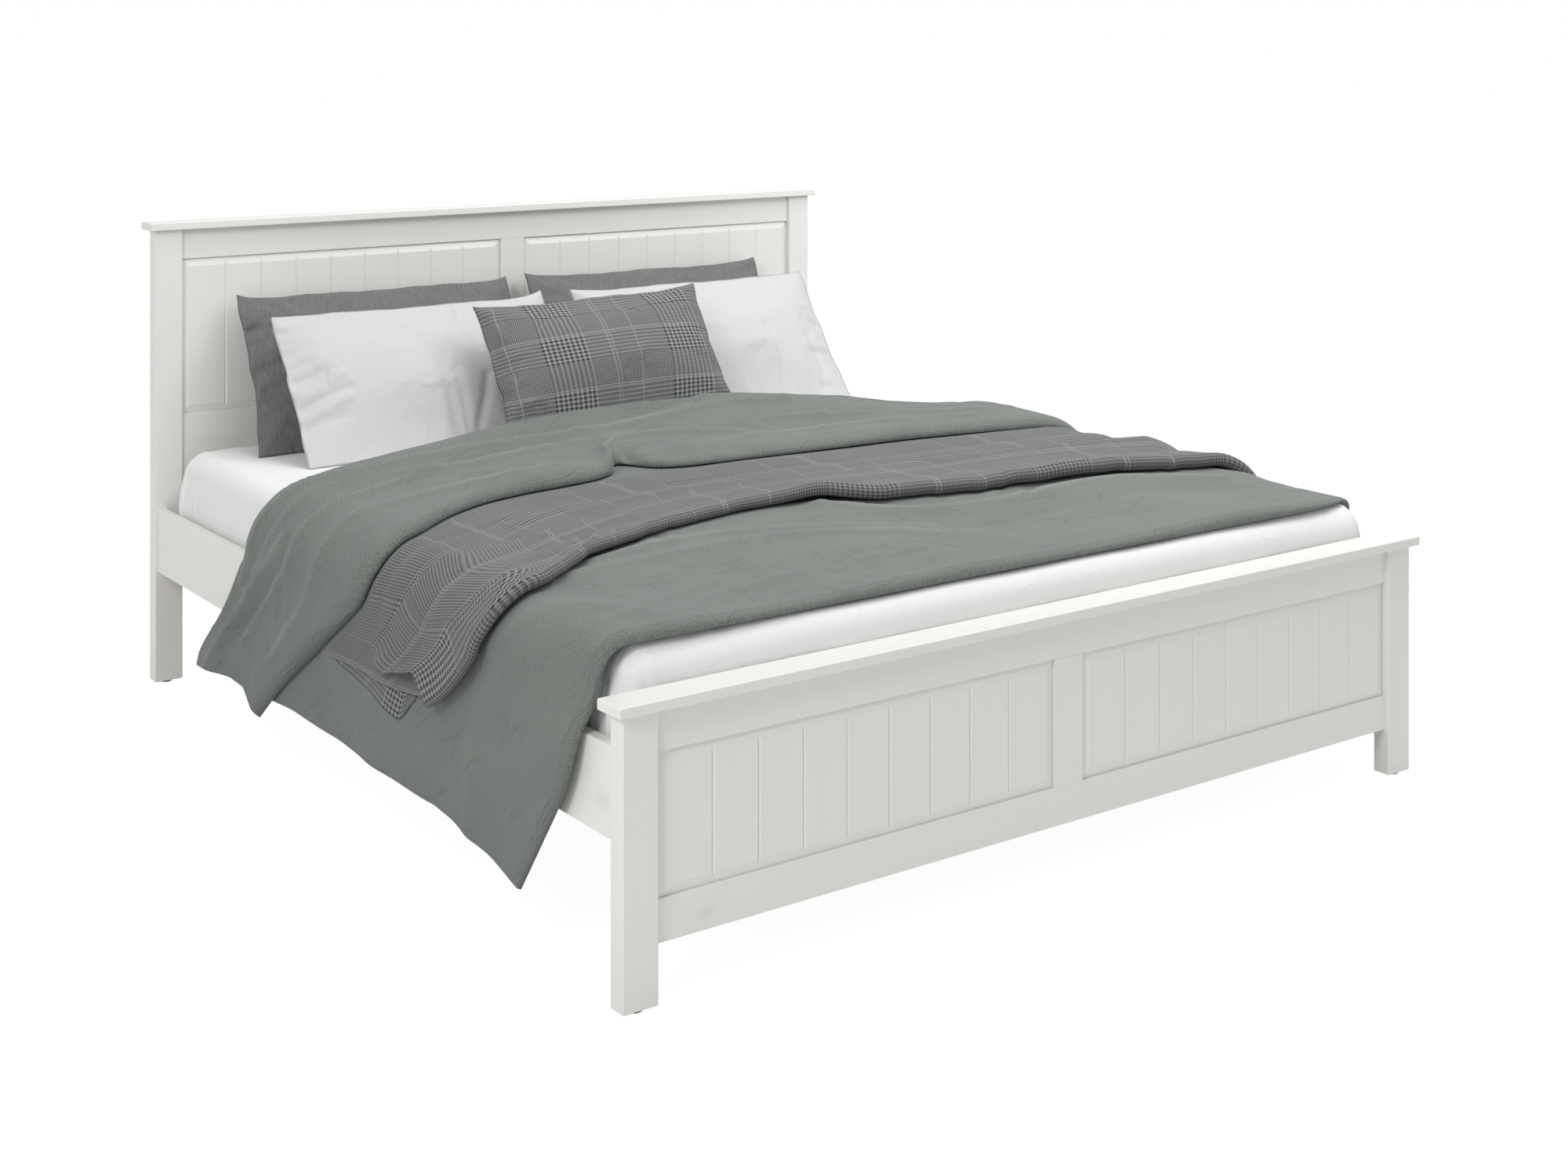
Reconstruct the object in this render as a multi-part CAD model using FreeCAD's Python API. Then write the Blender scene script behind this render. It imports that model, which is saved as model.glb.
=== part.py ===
import FreeCAD, Part
import math
import os

from FreeCAD import Rotation, Vector

# Panel bed for a double mattress, dressed with its bedding. Millimetres.
# X runs across the bed, Y from the foot to the head, Z up. The origin is on the
# floor under the middle of the bed. Left and right are as seen from the foot.

# ---- mattress and frame size
mattress_width = 1800.0
mattress_length = 1994.0   # as made, for a 2000 bed
mattress_height = 200.0
side_gap = 10.5            # mattress to side rail
end_gap = 17.0             # mattress to head and foot posts
rail_inset = 5.0           # side rail behind the posts' outer faces

# ---- end boards
foot_height = 481.0
head_height = 1068.0
post_width = 65.0
post_depth = 38.0
cap_thickness = 18.0
cap_overhang = 15.0
rail_thickness = 18.0
rail_recess = 10.0         # rails behind the posts' front faces
top_rail_height = 70.0
low_rail_height = 68.0     # bottom rail of the foot board, middle rail of the head board
foot_panel_height = 229.0
head_panel_height = 363.0
lower_board_bottom = 257.0
stile_width = 67.0
easing = 2.5               # rounding of painted edges
small_easing = 1.0

# ---- joinery of the end boards
tongue_thickness = 8.0
tongue_length = 9.0
groove_depth = 10.0
tongue_setback = 7.0       # tongue behind the rails' front faces
tenon_length = 15.0
tenon_shoulder = 8.0
joint_fit = 0.2            # clearance round tongues and tenons

# ---- panels
panel_recess = 1.0         # raised field behind the rails' front faces
bevel_width = 19.0
groove_count = 8
groove_pitch = 89.0
groove_width = 6.0
groove_cut = 3.0

# ---- side rails and slat base
side_rail_thickness = 22.0
side_rail_height = 145.0
side_rail_bottom = 260.0
slat_seat_height = 322.0   # top of ledgers and centre beam
ledger_width = 28.0
ledger_height = 40.0
ledger_end_gap = 59.0      # ledger end to post
slat_count = 12
slat_width = 90.0
slat_thickness = 18.0
slat_end_gap = 2.5
slat_margin = 54.0         # outer slat's edge to post
beam_width = 44.0
beam_height = 60.0
leg_width = 45.0
leg_spacing = 1000.0
contact_gap = 0.3          # between pieces that rest on each other without a joint

# ---- feet
glide_height = 5.0
glide_radius = 12.5
glide_pin_radius = 2.5
glide_pin_length = 16.0
foot_pad_radius = 20.0
foot_pad_thickness = 6.0
foot_stem_radius = 4.0
foot_stem_length = 44.0
foot_running_fit = 0.06
nut_flange_radius = 11.0
nut_flange_thickness = 1.5
nut_sleeve_radius = 6.0
nut_sleeve_length = 13.0
stem_room = 20.0           # free hole above the stem
stud_radius = 4.0
stud_half_length = 32.0

# ---- steel fittings and fasteners
plate_thickness = 3.0
bracket_height = 90.0
bracket_bottom = 285.0
bracket_arm = 48.0
bracket_screw_spacing = 50.0
hanger_depth = 40.0
hanger_cheek_height = 45.0
hanger_flange_width = 60.0
hanger_flange_rise = 40.0  # flange above the beam
hanger_screw_spacing = 30.0
screw_radius = 2.0
screw_head_radius = 4.0
screw_head_height = 2.5
hole_fit = 0.1
short_screw = 14.0
bracket_rail_screw = 18.0
bracket_post_screw = 32.0
ledger_screw = 42.0
slat_screw = 40.0
ledger_screw_count = 7
dowel_radius = 4.0
dowel_length = 30.0
dowel_in_cap = 12.0
dowel_end_room = 0.5
cap_dowel_spacing = 560.0

# ---- mattress and fitted sheet
mattress_corner = 60.0
mattress_edge = 42.0
sheet_thickness = 1.5
sheet_skirt = 190.0

# ---- duvet
duvet_thickness = 22.0
duvet_side_room = 12.0     # duvet's inside to side rail
duvet_corner = 58.0
duvet_foot_gap = 25.0      # duvet's foot edge to the mattress's foot end
fold_wave = 9.0            # depth of the hanging folds
top_wave = 4.0
fold_pitch = 145.0
wave_overshoot = 1.5       # how far the waves swing past their stations, as a share
duvet_side_drop = 365.0    # hem below the mattress's top, along the sides
duvet_tip_drop = 433.0     # at the corners, which hang lowest
turned_thickness = 16.0    # layer that is folded back at the head, where it hangs
turned_rise = 36.0         # the same layer where it lies
turned_setback = 2.0       # its edge behind the fold's edge

# ---- throw
throw_thickness = 14.0
throw_gap = 0.9            # over the duvet's highest folds
throw_setback = 3.0        # throw to the edge of the layer that is folded back
throw_drop = 243.0         # its hanging end below the mattress's top

# ---- pillows and cushion
pillow_width = 760.0
pillow_height = 400.0
pillow_thickness = 118.0
pillow_draw = 14.0         # how far the sides are drawn in
pillow_seam = 5.0
end_slimming = 0.25        # how much thinner a pillow is towards its ends, as a share
back_pillow_gap = 19.0     # between the two of a pair
back_pillow_shift = -16.5  # middle of the pair from the middle of the bed
back_pillow_stand = 214.0  # foot of the pillow to the head board's posts
back_pillow_lean = 28.0    # degrees from upright
front_pillow_gap = 40.0
front_pillow_shift = 30.0
front_pillow_stand = 394.0
front_pillow_lean = 36.0
cushion_width = 655.0
cushion_height = 320.0
cushion_thickness = 105.0
cushion_shift = 15.0
cushion_stand = 514.0
cushion_lean = 32.0

# ---- places that follow from the sizes above
rail_inner_x = mattress_width / 2 + side_gap
rail_outer_x = rail_inner_x + side_rail_thickness
post_outer_x = rail_outer_x + rail_inset
post_inner_x = post_outer_x - post_width
post_centre_x = post_outer_x - post_width / 2
board_face_y = mattress_length / 2 + end_gap
foot_front = -board_face_y - post_depth
head_front = board_face_y
mattress_bottom = slat_seat_height + slat_thickness
mattress_top = mattress_bottom + mattress_height
mattress_end_y = mattress_length / 2
tongue_end = tongue_setback + tongue_thickness
screw_hole_radius = screw_radius + hole_fit

SIDES = (("left", -1), ("right", 1))
parts = {}


def block(x0, x1, y0, y1, z0, z1):
    """Box between two corners, whichever way round they are given."""
    low = Vector(min(x0, x1), min(y0, y1), min(z0, z1))
    return Part.makeBox(abs(x1 - x0), abs(y1 - y0), abs(z1 - z0), low)


def rod(radius, start, end):
    """Round bar from one point to another."""
    run = Vector(*end) - Vector(*start)
    return Part.makeCylinder(radius, run.Length, Vector(*start), run)


def eased(solid, radius, along=None):
    """Rounds the straight edges of a block, all of them or those along one axis."""
    chosen = []
    for edge in solid.Edges:
        run = edge.Vertexes[1].Point - edge.Vertexes[0].Point
        if along is None or abs(run.dot(along)) > 0.99 * run.Length:
            chosen.append(edge)
    return solid.makeFillet(radius, chosen)


def prism(points, along, start, length):
    """Straight-sided outline, given in the two other axes, pushed along one axis."""
    places = {
        "x": lambda a, b: Vector(start, a, b),
        "z": lambda a, b: Vector(a, b, start),
    }
    push = {"x": Vector(length, 0, 0), "z": Vector(0, 0, length)}
    corners = [places[along](a, b) for a, b in points]
    return Part.Face(Part.makePolygon(corners + corners[:1])).extrude(push[along])


def solids_of(shape):
    """The solids of a boolean result as one shape."""
    return shape.Solids[0] if len(shape.Solids) == 1 else Part.makeCompound(shape.Solids)


def screw(length, place, direction):
    """Countersunk screw: its head's face at place, its point in the direction given."""
    axis = Vector(*direction)
    head = Part.makeCone(screw_head_radius, screw_radius, screw_head_height, Vector(*place), axis)
    return head.fuse(Part.makeCylinder(screw_radius, length, Vector(*place), axis)).removeSplitter()


def screw_hole(length, place, direction):
    """Room for that screw, a little wider all round."""
    axis = Vector(*direction)
    head = Part.makeCone(
        screw_head_radius + hole_fit, screw_hole_radius, screw_head_height, Vector(*place), axis
    )
    return head.fuse(Part.makeCylinder(screw_hole_radius, length + hole_fit, Vector(*place), axis))


# ---- end boards


def cap_dowel_places(front):
    """Where the dowels under a cap stand: in the posts and in the top rail."""
    post_y = front + post_depth / 2
    rail_y = front + rail_recess + rail_thickness / 2
    in_posts = [(side * post_centre_x, post_y) for _, side in SIDES]
    in_rail = [(x, rail_y) for x in (-cap_dowel_spacing, 0.0, cap_dowel_spacing)]
    return in_posts + in_rail


def dowel_holes(front, top):
    reach = dowel_length - dowel_in_cap + dowel_end_room
    return [
        rod(dowel_radius + hole_fit, (x, y, top - reach), (x, y, top + dowel_in_cap + dowel_end_room))
        for x, y in cap_dowel_places(front)
    ]


def dowels(front, top):
    base = top - dowel_length + dowel_in_cap
    return [rod(dowel_radius, (x, y, base), (x, y, base + dowel_length)) for x, y in cap_dowel_places(front)]


def bracket_screw_heights():
    middle = bracket_bottom + bracket_height / 2
    return (middle - bracket_screw_spacing / 2, middle + bracket_screw_spacing / 2)


def post(front, top, side, rails, panel, bracket_face, into_post):
    """One post with the mortises of its rails, the panel's groove and the fasteners' holes."""
    body = eased(
        block(side * post_inner_x, side * post_outer_x, front, front + post_depth, glide_height, top),
        easing,
    )
    slot_front = front + rail_recess + tongue_setback - joint_fit
    slot_back = front + rail_recess + tongue_end + joint_fit
    cuts = []
    for bottom, height in rails:
        cuts.append(
            block(
                side * post_inner_x,
                side * (post_inner_x + tenon_length + joint_fit),
                slot_front,
                slot_back,
                bottom + tenon_shoulder - joint_fit,
                bottom + height - tenon_shoulder + joint_fit,
            )
        )
    bottom, height = panel
    cuts.append(
        block(
            side * post_inner_x,
            side * (post_inner_x + groove_depth),
            slot_front,
            slot_back,
            bottom - groove_depth,
            bottom + height + groove_depth,
        )
    )
    cuts += dowel_holes(front, top)
    centre = (side * post_centre_x, front + post_depth / 2)
    cuts.append(
        rod(glide_pin_radius + hole_fit, (*centre, 0), (*centre, glide_height + glide_pin_length + hole_fit))
    )
    for height in bracket_screw_heights():
        place = (side * bracket_post_screw_x(), bracket_face, height)
        cuts.append(screw_hole(bracket_post_screw, place, (0, into_post, 0)))
    return body.cut(cuts)


def cross_rail(front, bottom, height, grooves):
    """Rail between the posts, with a tenon at each end and the panels' grooves."""
    rail_front = front + rail_recess
    body = block(
        -post_inner_x, post_inner_x, rail_front, rail_front + rail_thickness, bottom, bottom + height
    )
    body = eased(body, small_easing, Vector(1, 0, 0))
    tenons = block(
        -post_inner_x - tenon_length,
        post_inner_x + tenon_length,
        rail_front + tongue_setback,
        rail_front + tongue_end,
        bottom + tenon_shoulder,
        bottom + height - tenon_shoulder,
    )
    rail = body.fuse(tenons)
    for edge, inward in grooves:
        # the groove runs on through the tenons, so that the panel's corners have room
        rail = rail.cut(
            block(
                -post_inner_x - tenon_length,
                post_inner_x + tenon_length,
                rail_front + tongue_setback - joint_fit,
                rail_front + tongue_end + joint_fit,
                edge,
                edge + inward * groove_depth,
            )
        )
    return rail.removeSplitter()


def centre_stile(front, bottom, height):
    """Upright between the panels, with a stub at each end and a groove in each side."""
    rail_front = front + rail_recess
    half = stile_width / 2
    stile = block(-half, half, rail_front, rail_front + rail_thickness, bottom, bottom + height)
    stubs = block(
        -half,
        half,
        rail_front + tongue_setback,
        rail_front + tongue_end,
        bottom - tongue_length,
        bottom + height + tongue_length,
    )
    stile = stile.fuse(stubs)
    for _, side in SIDES:
        stile = stile.cut(
            block(
                side * half,
                side * (half - groove_depth),
                rail_front + tongue_setback - joint_fit,
                rail_front + tongue_end + joint_fit,
                bottom - tongue_length,
                bottom + height + tongue_length,
            )
        )
    return stile.removeSplitter()


def panel(front, bottom, height, side):
    """Raised and fielded panel with upright V grooves and a tongue all round."""
    rail_front = front + rail_recess
    inner = stile_width / 2
    low_x, high_x = sorted((side * inner, side * post_inner_x))
    tongue = block(
        low_x - tongue_length,
        high_x + tongue_length,
        rail_front + tongue_setback,
        rail_front + tongue_end,
        bottom - tongue_length,
        bottom + height + tongue_length,
    )

    def outline(inset, depth):
        y = rail_front + depth
        corners = [
            Vector(low_x + inset, y, bottom + inset),
            Vector(high_x - inset, y, bottom + inset),
            Vector(high_x - inset, y, bottom + height - inset),
            Vector(low_x + inset, y, bottom + height - inset),
        ]
        return Part.makePolygon(corners + corners[:1])

    field = Part.makeLoft(
        [outline(joint_fit, tongue_setback), outline(bevel_width, panel_recess)], True, True
    )
    board = tongue.fuse(field).removeSplitter()
    middle = (low_x + high_x) / 2
    field_y = rail_front + panel_recess
    # the V runs on above the field at the same slope, so that its edges are cut clean
    flare = groove_width / 2 * (groove_cut + 1) / groove_cut
    vees = []
    for i in range(groove_count):
        x = middle + (i - (groove_count - 1) / 2) * groove_pitch
        vee = [(x - flare, field_y - 1), (x + flare, field_y - 1), (x, field_y + groove_cut)]
        vees.append(prism(vee, "z", bottom, height))
    return board.cut(vees)


def cap(front, top):
    """Moulded board over the posts and the top rail."""
    reach = post_outer_x + cap_overhang
    board = block(
        -reach, reach, front - cap_overhang, front + post_depth + cap_overhang, top, top + cap_thickness
    )
    return eased(board, easing).cut(dowel_holes(front, top))


def bracket_post_screw_x():
    """Across: the middle of a bracket's arm on the post."""
    return (post_inner_x + easing + rail_inner_x - plate_thickness) / 2


def hanger_screw_places(y):
    height = slat_seat_height + hanger_flange_rise / 2
    return [(side * hanger_screw_spacing / 2, y, height) for _, side in SIDES]


foot_top = foot_height - cap_thickness
head_top = head_height - cap_thickness
foot_panel_bottom = foot_top - top_rail_height - foot_panel_height
head_panel_bottom = head_top - top_rail_height - head_panel_height
lower_board_height = head_panel_bottom - low_rail_height - lower_board_bottom
foot_rails = [
    (foot_top - top_rail_height, top_rail_height),
    (foot_panel_bottom - low_rail_height, low_rail_height),
]
head_rails = [
    (head_top - top_rail_height, top_rail_height),
    (head_panel_bottom - low_rail_height, low_rail_height),
    (lower_board_bottom, lower_board_height),
]

for board, front, top, rails, panel_zone, face, inward in (
    ("foot", foot_front, foot_top, foot_rails, (foot_panel_bottom, foot_panel_height), -board_face_y, -1),
    ("head", head_front, head_top, head_rails, (head_panel_bottom, head_panel_height), board_face_y, 1),
):
    plate_face = face - inward * plate_thickness
    for name, side in SIDES:
        parts[f"{board}_post_{name}"] = post(front, top, side, rails, panel_zone, plate_face, inward)
        parts[f"{board}_panel_{name}"] = panel(front, *panel_zone, side)
    upper, lower = rails[0], rails[1]
    parts[f"{board}_top_rail"] = cross_rail(front, *upper, [(upper[0], 1)]).cut(dowel_holes(front, top))
    parts[f"{board}_{'bottom' if board == 'foot' else 'middle'}_rail"] = cross_rail(
        front, *lower, [(lower[0] + lower[1], -1)]
    )
    parts[f"{board}_centre_stile"] = centre_stile(front, *panel_zone)
    parts[f"{board}_cap"] = cap(front, top)
parts["head_lower_board"] = cross_rail(head_front, lower_board_bottom, lower_board_height, [])
parts["cap_dowels"] = Part.makeCompound(dowels(foot_front, foot_top) + dowels(head_front, head_top))

# ---- side rails, ledgers and corner brackets

ledger_half = board_face_y - ledger_end_gap
ledger_screw_z = slat_seat_height - ledger_height / 2
ledger_face_x = rail_inner_x - ledger_width
ledger_screw_pitch = 2 * (ledger_half - ledger_end_gap) / (ledger_screw_count - 1)
# the screws of the ledgers stand clear of those of the slats, which come from above
ledger_screw_y = [(i - (ledger_screw_count - 1) / 2) * ledger_screw_pitch for i in range(ledger_screw_count)]
slat_span = 2 * (board_face_y - slat_margin) - slat_width
slat_pitch = slat_span / (slat_count - 1)
slat_y = [(i - (slat_count - 1) / 2) * slat_pitch for i in range(slat_count)]
slat_half_length = rail_inner_x - slat_end_gap
slat_screw_x = (-(ledger_face_x + rail_inner_x) / 2, 0.0, (ledger_face_x + rail_inner_x) / 2)
bracket_rail_screw_y = board_face_y - bracket_arm / 2

slat_screw_holes = [
    screw_hole(slat_screw, (x, y, mattress_bottom), (0, 0, -1)) for y in slat_y for x in slat_screw_x
]
ledger_screws = []
bracket_screws = []
for name, side in SIDES:
    inner = side * rail_inner_x
    plate_x = side * (rail_inner_x - plate_thickness)
    rail = eased(
        block(
            inner,
            side * rail_outer_x,
            -board_face_y,
            board_face_y,
            side_rail_bottom,
            side_rail_bottom + side_rail_height,
        ),
        easing,
        Vector(0, 1, 0),
    )
    ledger = block(
        side * ledger_face_x,
        inner,
        -ledger_half,
        ledger_half,
        slat_seat_height - ledger_height,
        slat_seat_height,
    )
    holes = []
    for y in ledger_screw_y:
        place = (side * ledger_face_x, y, ledger_screw_z)
        ledger_screws.append(screw(ledger_screw, place, (side, 0, 0)))
        holes.append(screw_hole(ledger_screw, place, (side, 0, 0)))
    rail_holes = list(holes)
    for end_name, end in (("foot", -1), ("head", 1)):
        post_face = end * board_face_y
        arm = block(
            inner,
            plate_x,
            post_face,
            end * (board_face_y - bracket_arm),
            bracket_bottom,
            bracket_bottom + bracket_height,
        )
        on_post = block(
            inner,
            side * (post_inner_x + easing),
            post_face,
            end * (board_face_y - plate_thickness),
            bracket_bottom,
            bracket_bottom + bracket_height,
        )
        bracket = arm.fuse(on_post).removeSplitter()
        bracket_holes = []
        for height in bracket_screw_heights():
            to_rail = (plate_x, end * bracket_rail_screw_y, height)
            to_post = (side * bracket_post_screw_x(), end * (board_face_y - plate_thickness), height)
            bracket_screws.append(screw(bracket_rail_screw, to_rail, (side, 0, 0)))
            bracket_screws.append(screw(bracket_post_screw, to_post, (0, end, 0)))
            bracket_holes.append(screw_hole(bracket_rail_screw, to_rail, (side, 0, 0)))
            rail_holes.append(screw_hole(bracket_rail_screw, to_rail, (side, 0, 0)))
            bracket_holes.append(screw_hole(bracket_post_screw, to_post, (0, end, 0)))
        parts[f"corner_bracket_{end_name}_{name}"] = bracket.cut(bracket_holes)
    parts[f"side_rail_{name}"] = rail.cut(rail_holes)
    parts[f"ledger_{name}"] = ledger.cut(holes + slat_screw_holes)
parts["ledger_screws"] = Part.makeCompound(ledger_screws)

# ---- slats

for i, y in enumerate(slat_y):
    slat = block(
        -slat_half_length,
        slat_half_length,
        y - slat_width / 2,
        y + slat_width / 2,
        slat_seat_height,
        mattress_bottom,
    )
    slat = eased(slat, easing, Vector(1, 0, 0))
    own_holes = [screw_hole(slat_screw, (x, y, mattress_bottom), (0, 0, -1)) for x in slat_screw_x]
    parts[f"slat_{i + 1:02d}"] = slat.cut(own_holes)
parts["slat_screws"] = Part.makeCompound(
    [screw(slat_screw, (x, y, mattress_bottom), (0, 0, -1)) for y in slat_y for x in slat_screw_x]
)

# ---- centre beam, its hangers and its legs

hanger_face_y = board_face_y + rail_recess
beam_half = hanger_face_y - plate_thickness - contact_gap
beam_bottom = slat_seat_height - beam_height
leg_bottom = foot_pad_thickness + contact_gap + nut_flange_thickness
leg_places = (-leg_spacing / 2, leg_spacing / 2)
hanger_screws = []
board_screw_holes = {}
for end_name, end in (("foot", -1), ("head", 1)):
    # the foot board's rails lie behind their posts' front faces, so both faces are reached alike
    wall = end * hanger_face_y if end > 0 else foot_front + rail_recess + rail_thickness
    plate = wall - end * plate_thickness
    shoe_half = beam_width / 2 + contact_gap + plate_thickness
    flange = block(
        -hanger_flange_width / 2,
        hanger_flange_width / 2,
        wall,
        plate,
        beam_bottom - contact_gap - plate_thickness,
        slat_seat_height + hanger_flange_rise,
    )
    shoe = block(
        -shoe_half,
        shoe_half,
        plate,
        plate - end * hanger_depth,
        beam_bottom - contact_gap - plate_thickness,
        beam_bottom + hanger_cheek_height,
    )
    room = block(
        -shoe_half + plate_thickness,
        shoe_half - plate_thickness,
        plate,
        plate - end * hanger_depth,
        beam_bottom - contact_gap,
        beam_bottom + hanger_cheek_height,
    )
    holes = []
    for place in hanger_screw_places(plate):
        hanger_screws.append(screw(short_screw, place, (0, end, 0)))
        holes.append(screw_hole(short_screw, place, (0, end, 0)))
    board_screw_holes[end_name] = holes
    parts[f"beam_hanger_{end_name}"] = flange.fuse(shoe.cut(room)).cut(holes).removeSplitter()
parts["fitting_screws"] = Part.makeCompound(bracket_screws + hanger_screws)
parts["foot_centre_stile"] = parts["foot_centre_stile"].cut(board_screw_holes["foot"])
parts["head_lower_board"] = parts["head_lower_board"].cut(board_screw_holes["head"])

stud_holes = []
studs = []
nuts = []
for i, y in enumerate(leg_places):
    stud = (0, y, beam_bottom - stud_half_length), (0, y, beam_bottom + stud_half_length)
    room = (
        (0, y, beam_bottom - stud_half_length - dowel_end_room),
        (0, y, beam_bottom + stud_half_length + dowel_end_room),
    )
    studs.append(rod(stud_radius, *stud))
    stud_holes.append(rod(stud_radius + hole_fit, *room))
    nut_bottom = foot_pad_thickness + contact_gap
    sleeve_top = leg_bottom + nut_sleeve_length
    stem_top = foot_pad_thickness + foot_stem_length
    nut = rod(nut_flange_radius, (0, y, nut_bottom), (0, y, leg_bottom)).fuse(
        rod(nut_sleeve_radius, (0, y, nut_bottom), (0, y, sleeve_top))
    )
    bore = rod(foot_stem_radius + foot_running_fit, (0, y, nut_bottom), (0, y, sleeve_top))
    nuts.append(nut.cut(bore).removeSplitter())
    leg = eased(
        block(-leg_width / 2, leg_width / 2, y - leg_width / 2, y + leg_width / 2, leg_bottom, beam_bottom),
        easing,
        Vector(0, 0, 1),
    )
    parts[f"centre_leg_{i + 1}"] = leg.cut(
        [
            rod(nut_sleeve_radius + hole_fit, (0, y, leg_bottom), (0, y, sleeve_top + hole_fit)),
            rod(foot_stem_radius + joint_fit, (0, y, leg_bottom), (0, y, stem_top + stem_room)),
            stud_holes[-1],
        ]
    )
    pad = rod(foot_pad_radius, (0, y, 0), (0, y, foot_pad_thickness))
    pad = pad.makeFillet(small_easing, [pad.Edges[0]])
    stem = rod(foot_stem_radius, (0, y, foot_pad_thickness), (0, y, stem_top))
    parts[f"levelling_foot_{i + 1}"] = pad.fuse(stem).removeSplitter()
beam = block(-beam_width / 2, beam_width / 2, -beam_half, beam_half, beam_bottom, slat_seat_height)
parts["centre_beam"] = beam.cut(slat_screw_holes + stud_holes)
parts["leg_studs"] = Part.makeCompound(studs)
parts["leg_nuts"] = Part.makeCompound(nuts)

glides = []
for front in (foot_front, head_front):
    for _, side in SIDES:
        centre = (side * post_centre_x, front + post_depth / 2)
        disc = rod(glide_radius, (*centre, 0), (*centre, glide_height))
        disc = disc.makeFillet(small_easing, [disc.Edges[2]])
        pin = rod(glide_pin_radius, (*centre, 0), (*centre, glide_height + glide_pin_length))
        glides.append(disc.fuse(pin).removeSplitter())
parts["post_glides"] = Part.makeCompound(glides)

# ---- mattress and fitted sheet


def soft_block(inset, bottom, top):
    """Mattress-shaped block: rounded upright corners and rounded top edge."""
    x, y = mattress_width / 2 - inset, mattress_end_y - inset
    shape = block(-x, x, -y, y, bottom, top)
    shape = eased(shape, mattress_corner - inset, Vector(0, 0, 1))
    rim = [edge for edge in shape.Edges if abs(edge.BoundBox.ZMin - top) < 0.01]
    return shape.makeFillet(mattress_edge - inset, rim)


core_inset = sheet_thickness + contact_gap
parts["mattress"] = soft_block(core_inset, mattress_bottom, mattress_top - core_inset)
sheet_outer = soft_block(0, mattress_top - sheet_skirt, mattress_top)
sheet_inner = soft_block(sheet_thickness, mattress_bottom - mattress_height, mattress_top - sheet_thickness)
parts["fitted_sheet"] = sheet_outer.cut(sheet_inner)

# ---- duvet and throw: shells of one drape, cut to their outlines


drape_inner_x = rail_outer_x + duvet_side_room
drape_outer_x = drape_inner_x + duvet_thickness
drape_base = mattress_top + contact_gap
drape_top = drape_base + duvet_thickness
duvet_foot_y = -mattress_end_y + duvet_foot_gap
cover_stations = 15
cover_floor = 60.0         # level to which the cloths' solids run before they are cut
cover_reach = 1300.0
cutter_margin = 1.0
cutter_room = 120.0        # how far the cutters stand beyond the cloths


def cover_section(y, step, grow, rise):
    """Outline across the bed of all that a cloth encloses.

    grow widens it, and lifts it on the right; rise lifts its left side and its middle.
    """
    wave = math.cos(math.pi * step)
    half = drape_outer_x + grow + fold_wave * (0.5 + 0.5 * wave)
    roof = drape_top + rise + top_wave * wave
    right_roof = drape_top + grow
    bend = math.sqrt(0.5) * duvet_corner

    def at(x, z):
        return Vector(x, y, z)

    def corner(side, top):
        spring = top - duvet_corner
        ends = at(side * half, spring), at(side * (half - duvet_corner), top)
        middle = at(side * (half - duvet_corner + bend), spring + bend)
        return Part.Arc(ends[0], middle, ends[1]) if side < 0 else Part.Arc(ends[1], middle, ends[0])

    edges = [
        Part.LineSegment(at(-half, cover_floor), at(-half, roof - duvet_corner)),
        corner(-1, roof),
        Part.Arc(at(-half + duvet_corner, roof), at(0, roof + top_wave), at(half - duvet_corner, right_roof)),
        corner(1, right_roof),
        Part.LineSegment(at(half, right_roof - duvet_corner), at(half, cover_floor)),
        Part.LineSegment(at(half, cover_floor), at(-half, cover_floor)),
    ]
    return Part.Wire([edge.toShape() for edge in edges])


def cover(grow, rise):
    """All that a cloth over the whole bed encloses, with waves from foot to head."""
    first = duvet_foot_y - fold_pitch / 2
    wires = [cover_section(first + i * fold_pitch, i, grow, rise) for i in range(cover_stations)]
    return Part.makeLoft(wires, True, False)


def bed_room(half, roof, corner):
    """Plain room inside a cloth: as wide as twice half, up to roof, with rounded edges."""
    base = cover_floor - 2 * cutter_margin
    room = block(-half, half, -cover_reach, cover_reach, base, roof)
    upper = [edge for edge in room.Edges if edge.BoundBox.ZMin > base and edge.BoundBox.YLength > half]
    return room.makeFillet(corner, upper)


flank_x = drape_inner_x - cutter_margin
reach_x = drape_outer_x + cutter_room
ceiling_z = mattress_top + cutter_room


def cutter(plan, flank_left, flank_right):
    """Outline of a cloth: a plan over the top, and a side outline for each flank."""
    base = cover_floor - cutter_margin
    whole = prism(plan, "z", base, ceiling_z - base)
    for flank, start in ((flank_left, -reach_x), (flank_right, flank_x)):
        if flank:
            whole = whole.fuse(prism(flank, "x", start, reach_x - flank_x))
    return whole


def from_head(points):
    """Side outline from distances behind the mattress's head end and drops below its top."""
    return [(mattress_end_y - back, mattress_top - drop) for back, drop in points]


def from_foot(points):
    """Side outline from distances before the mattress's foot end and drops below its top."""
    return [(ahead - mattress_end_y, mattress_top - drop) for ahead, drop in points]


def on_top(points):
    """Plan outline from places across the bed and distances behind the mattress's head end."""
    return [(x, mattress_end_y - back) for x, back in points]


def moved(points, back):
    return [(x, y - back) for x, y in points]


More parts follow.
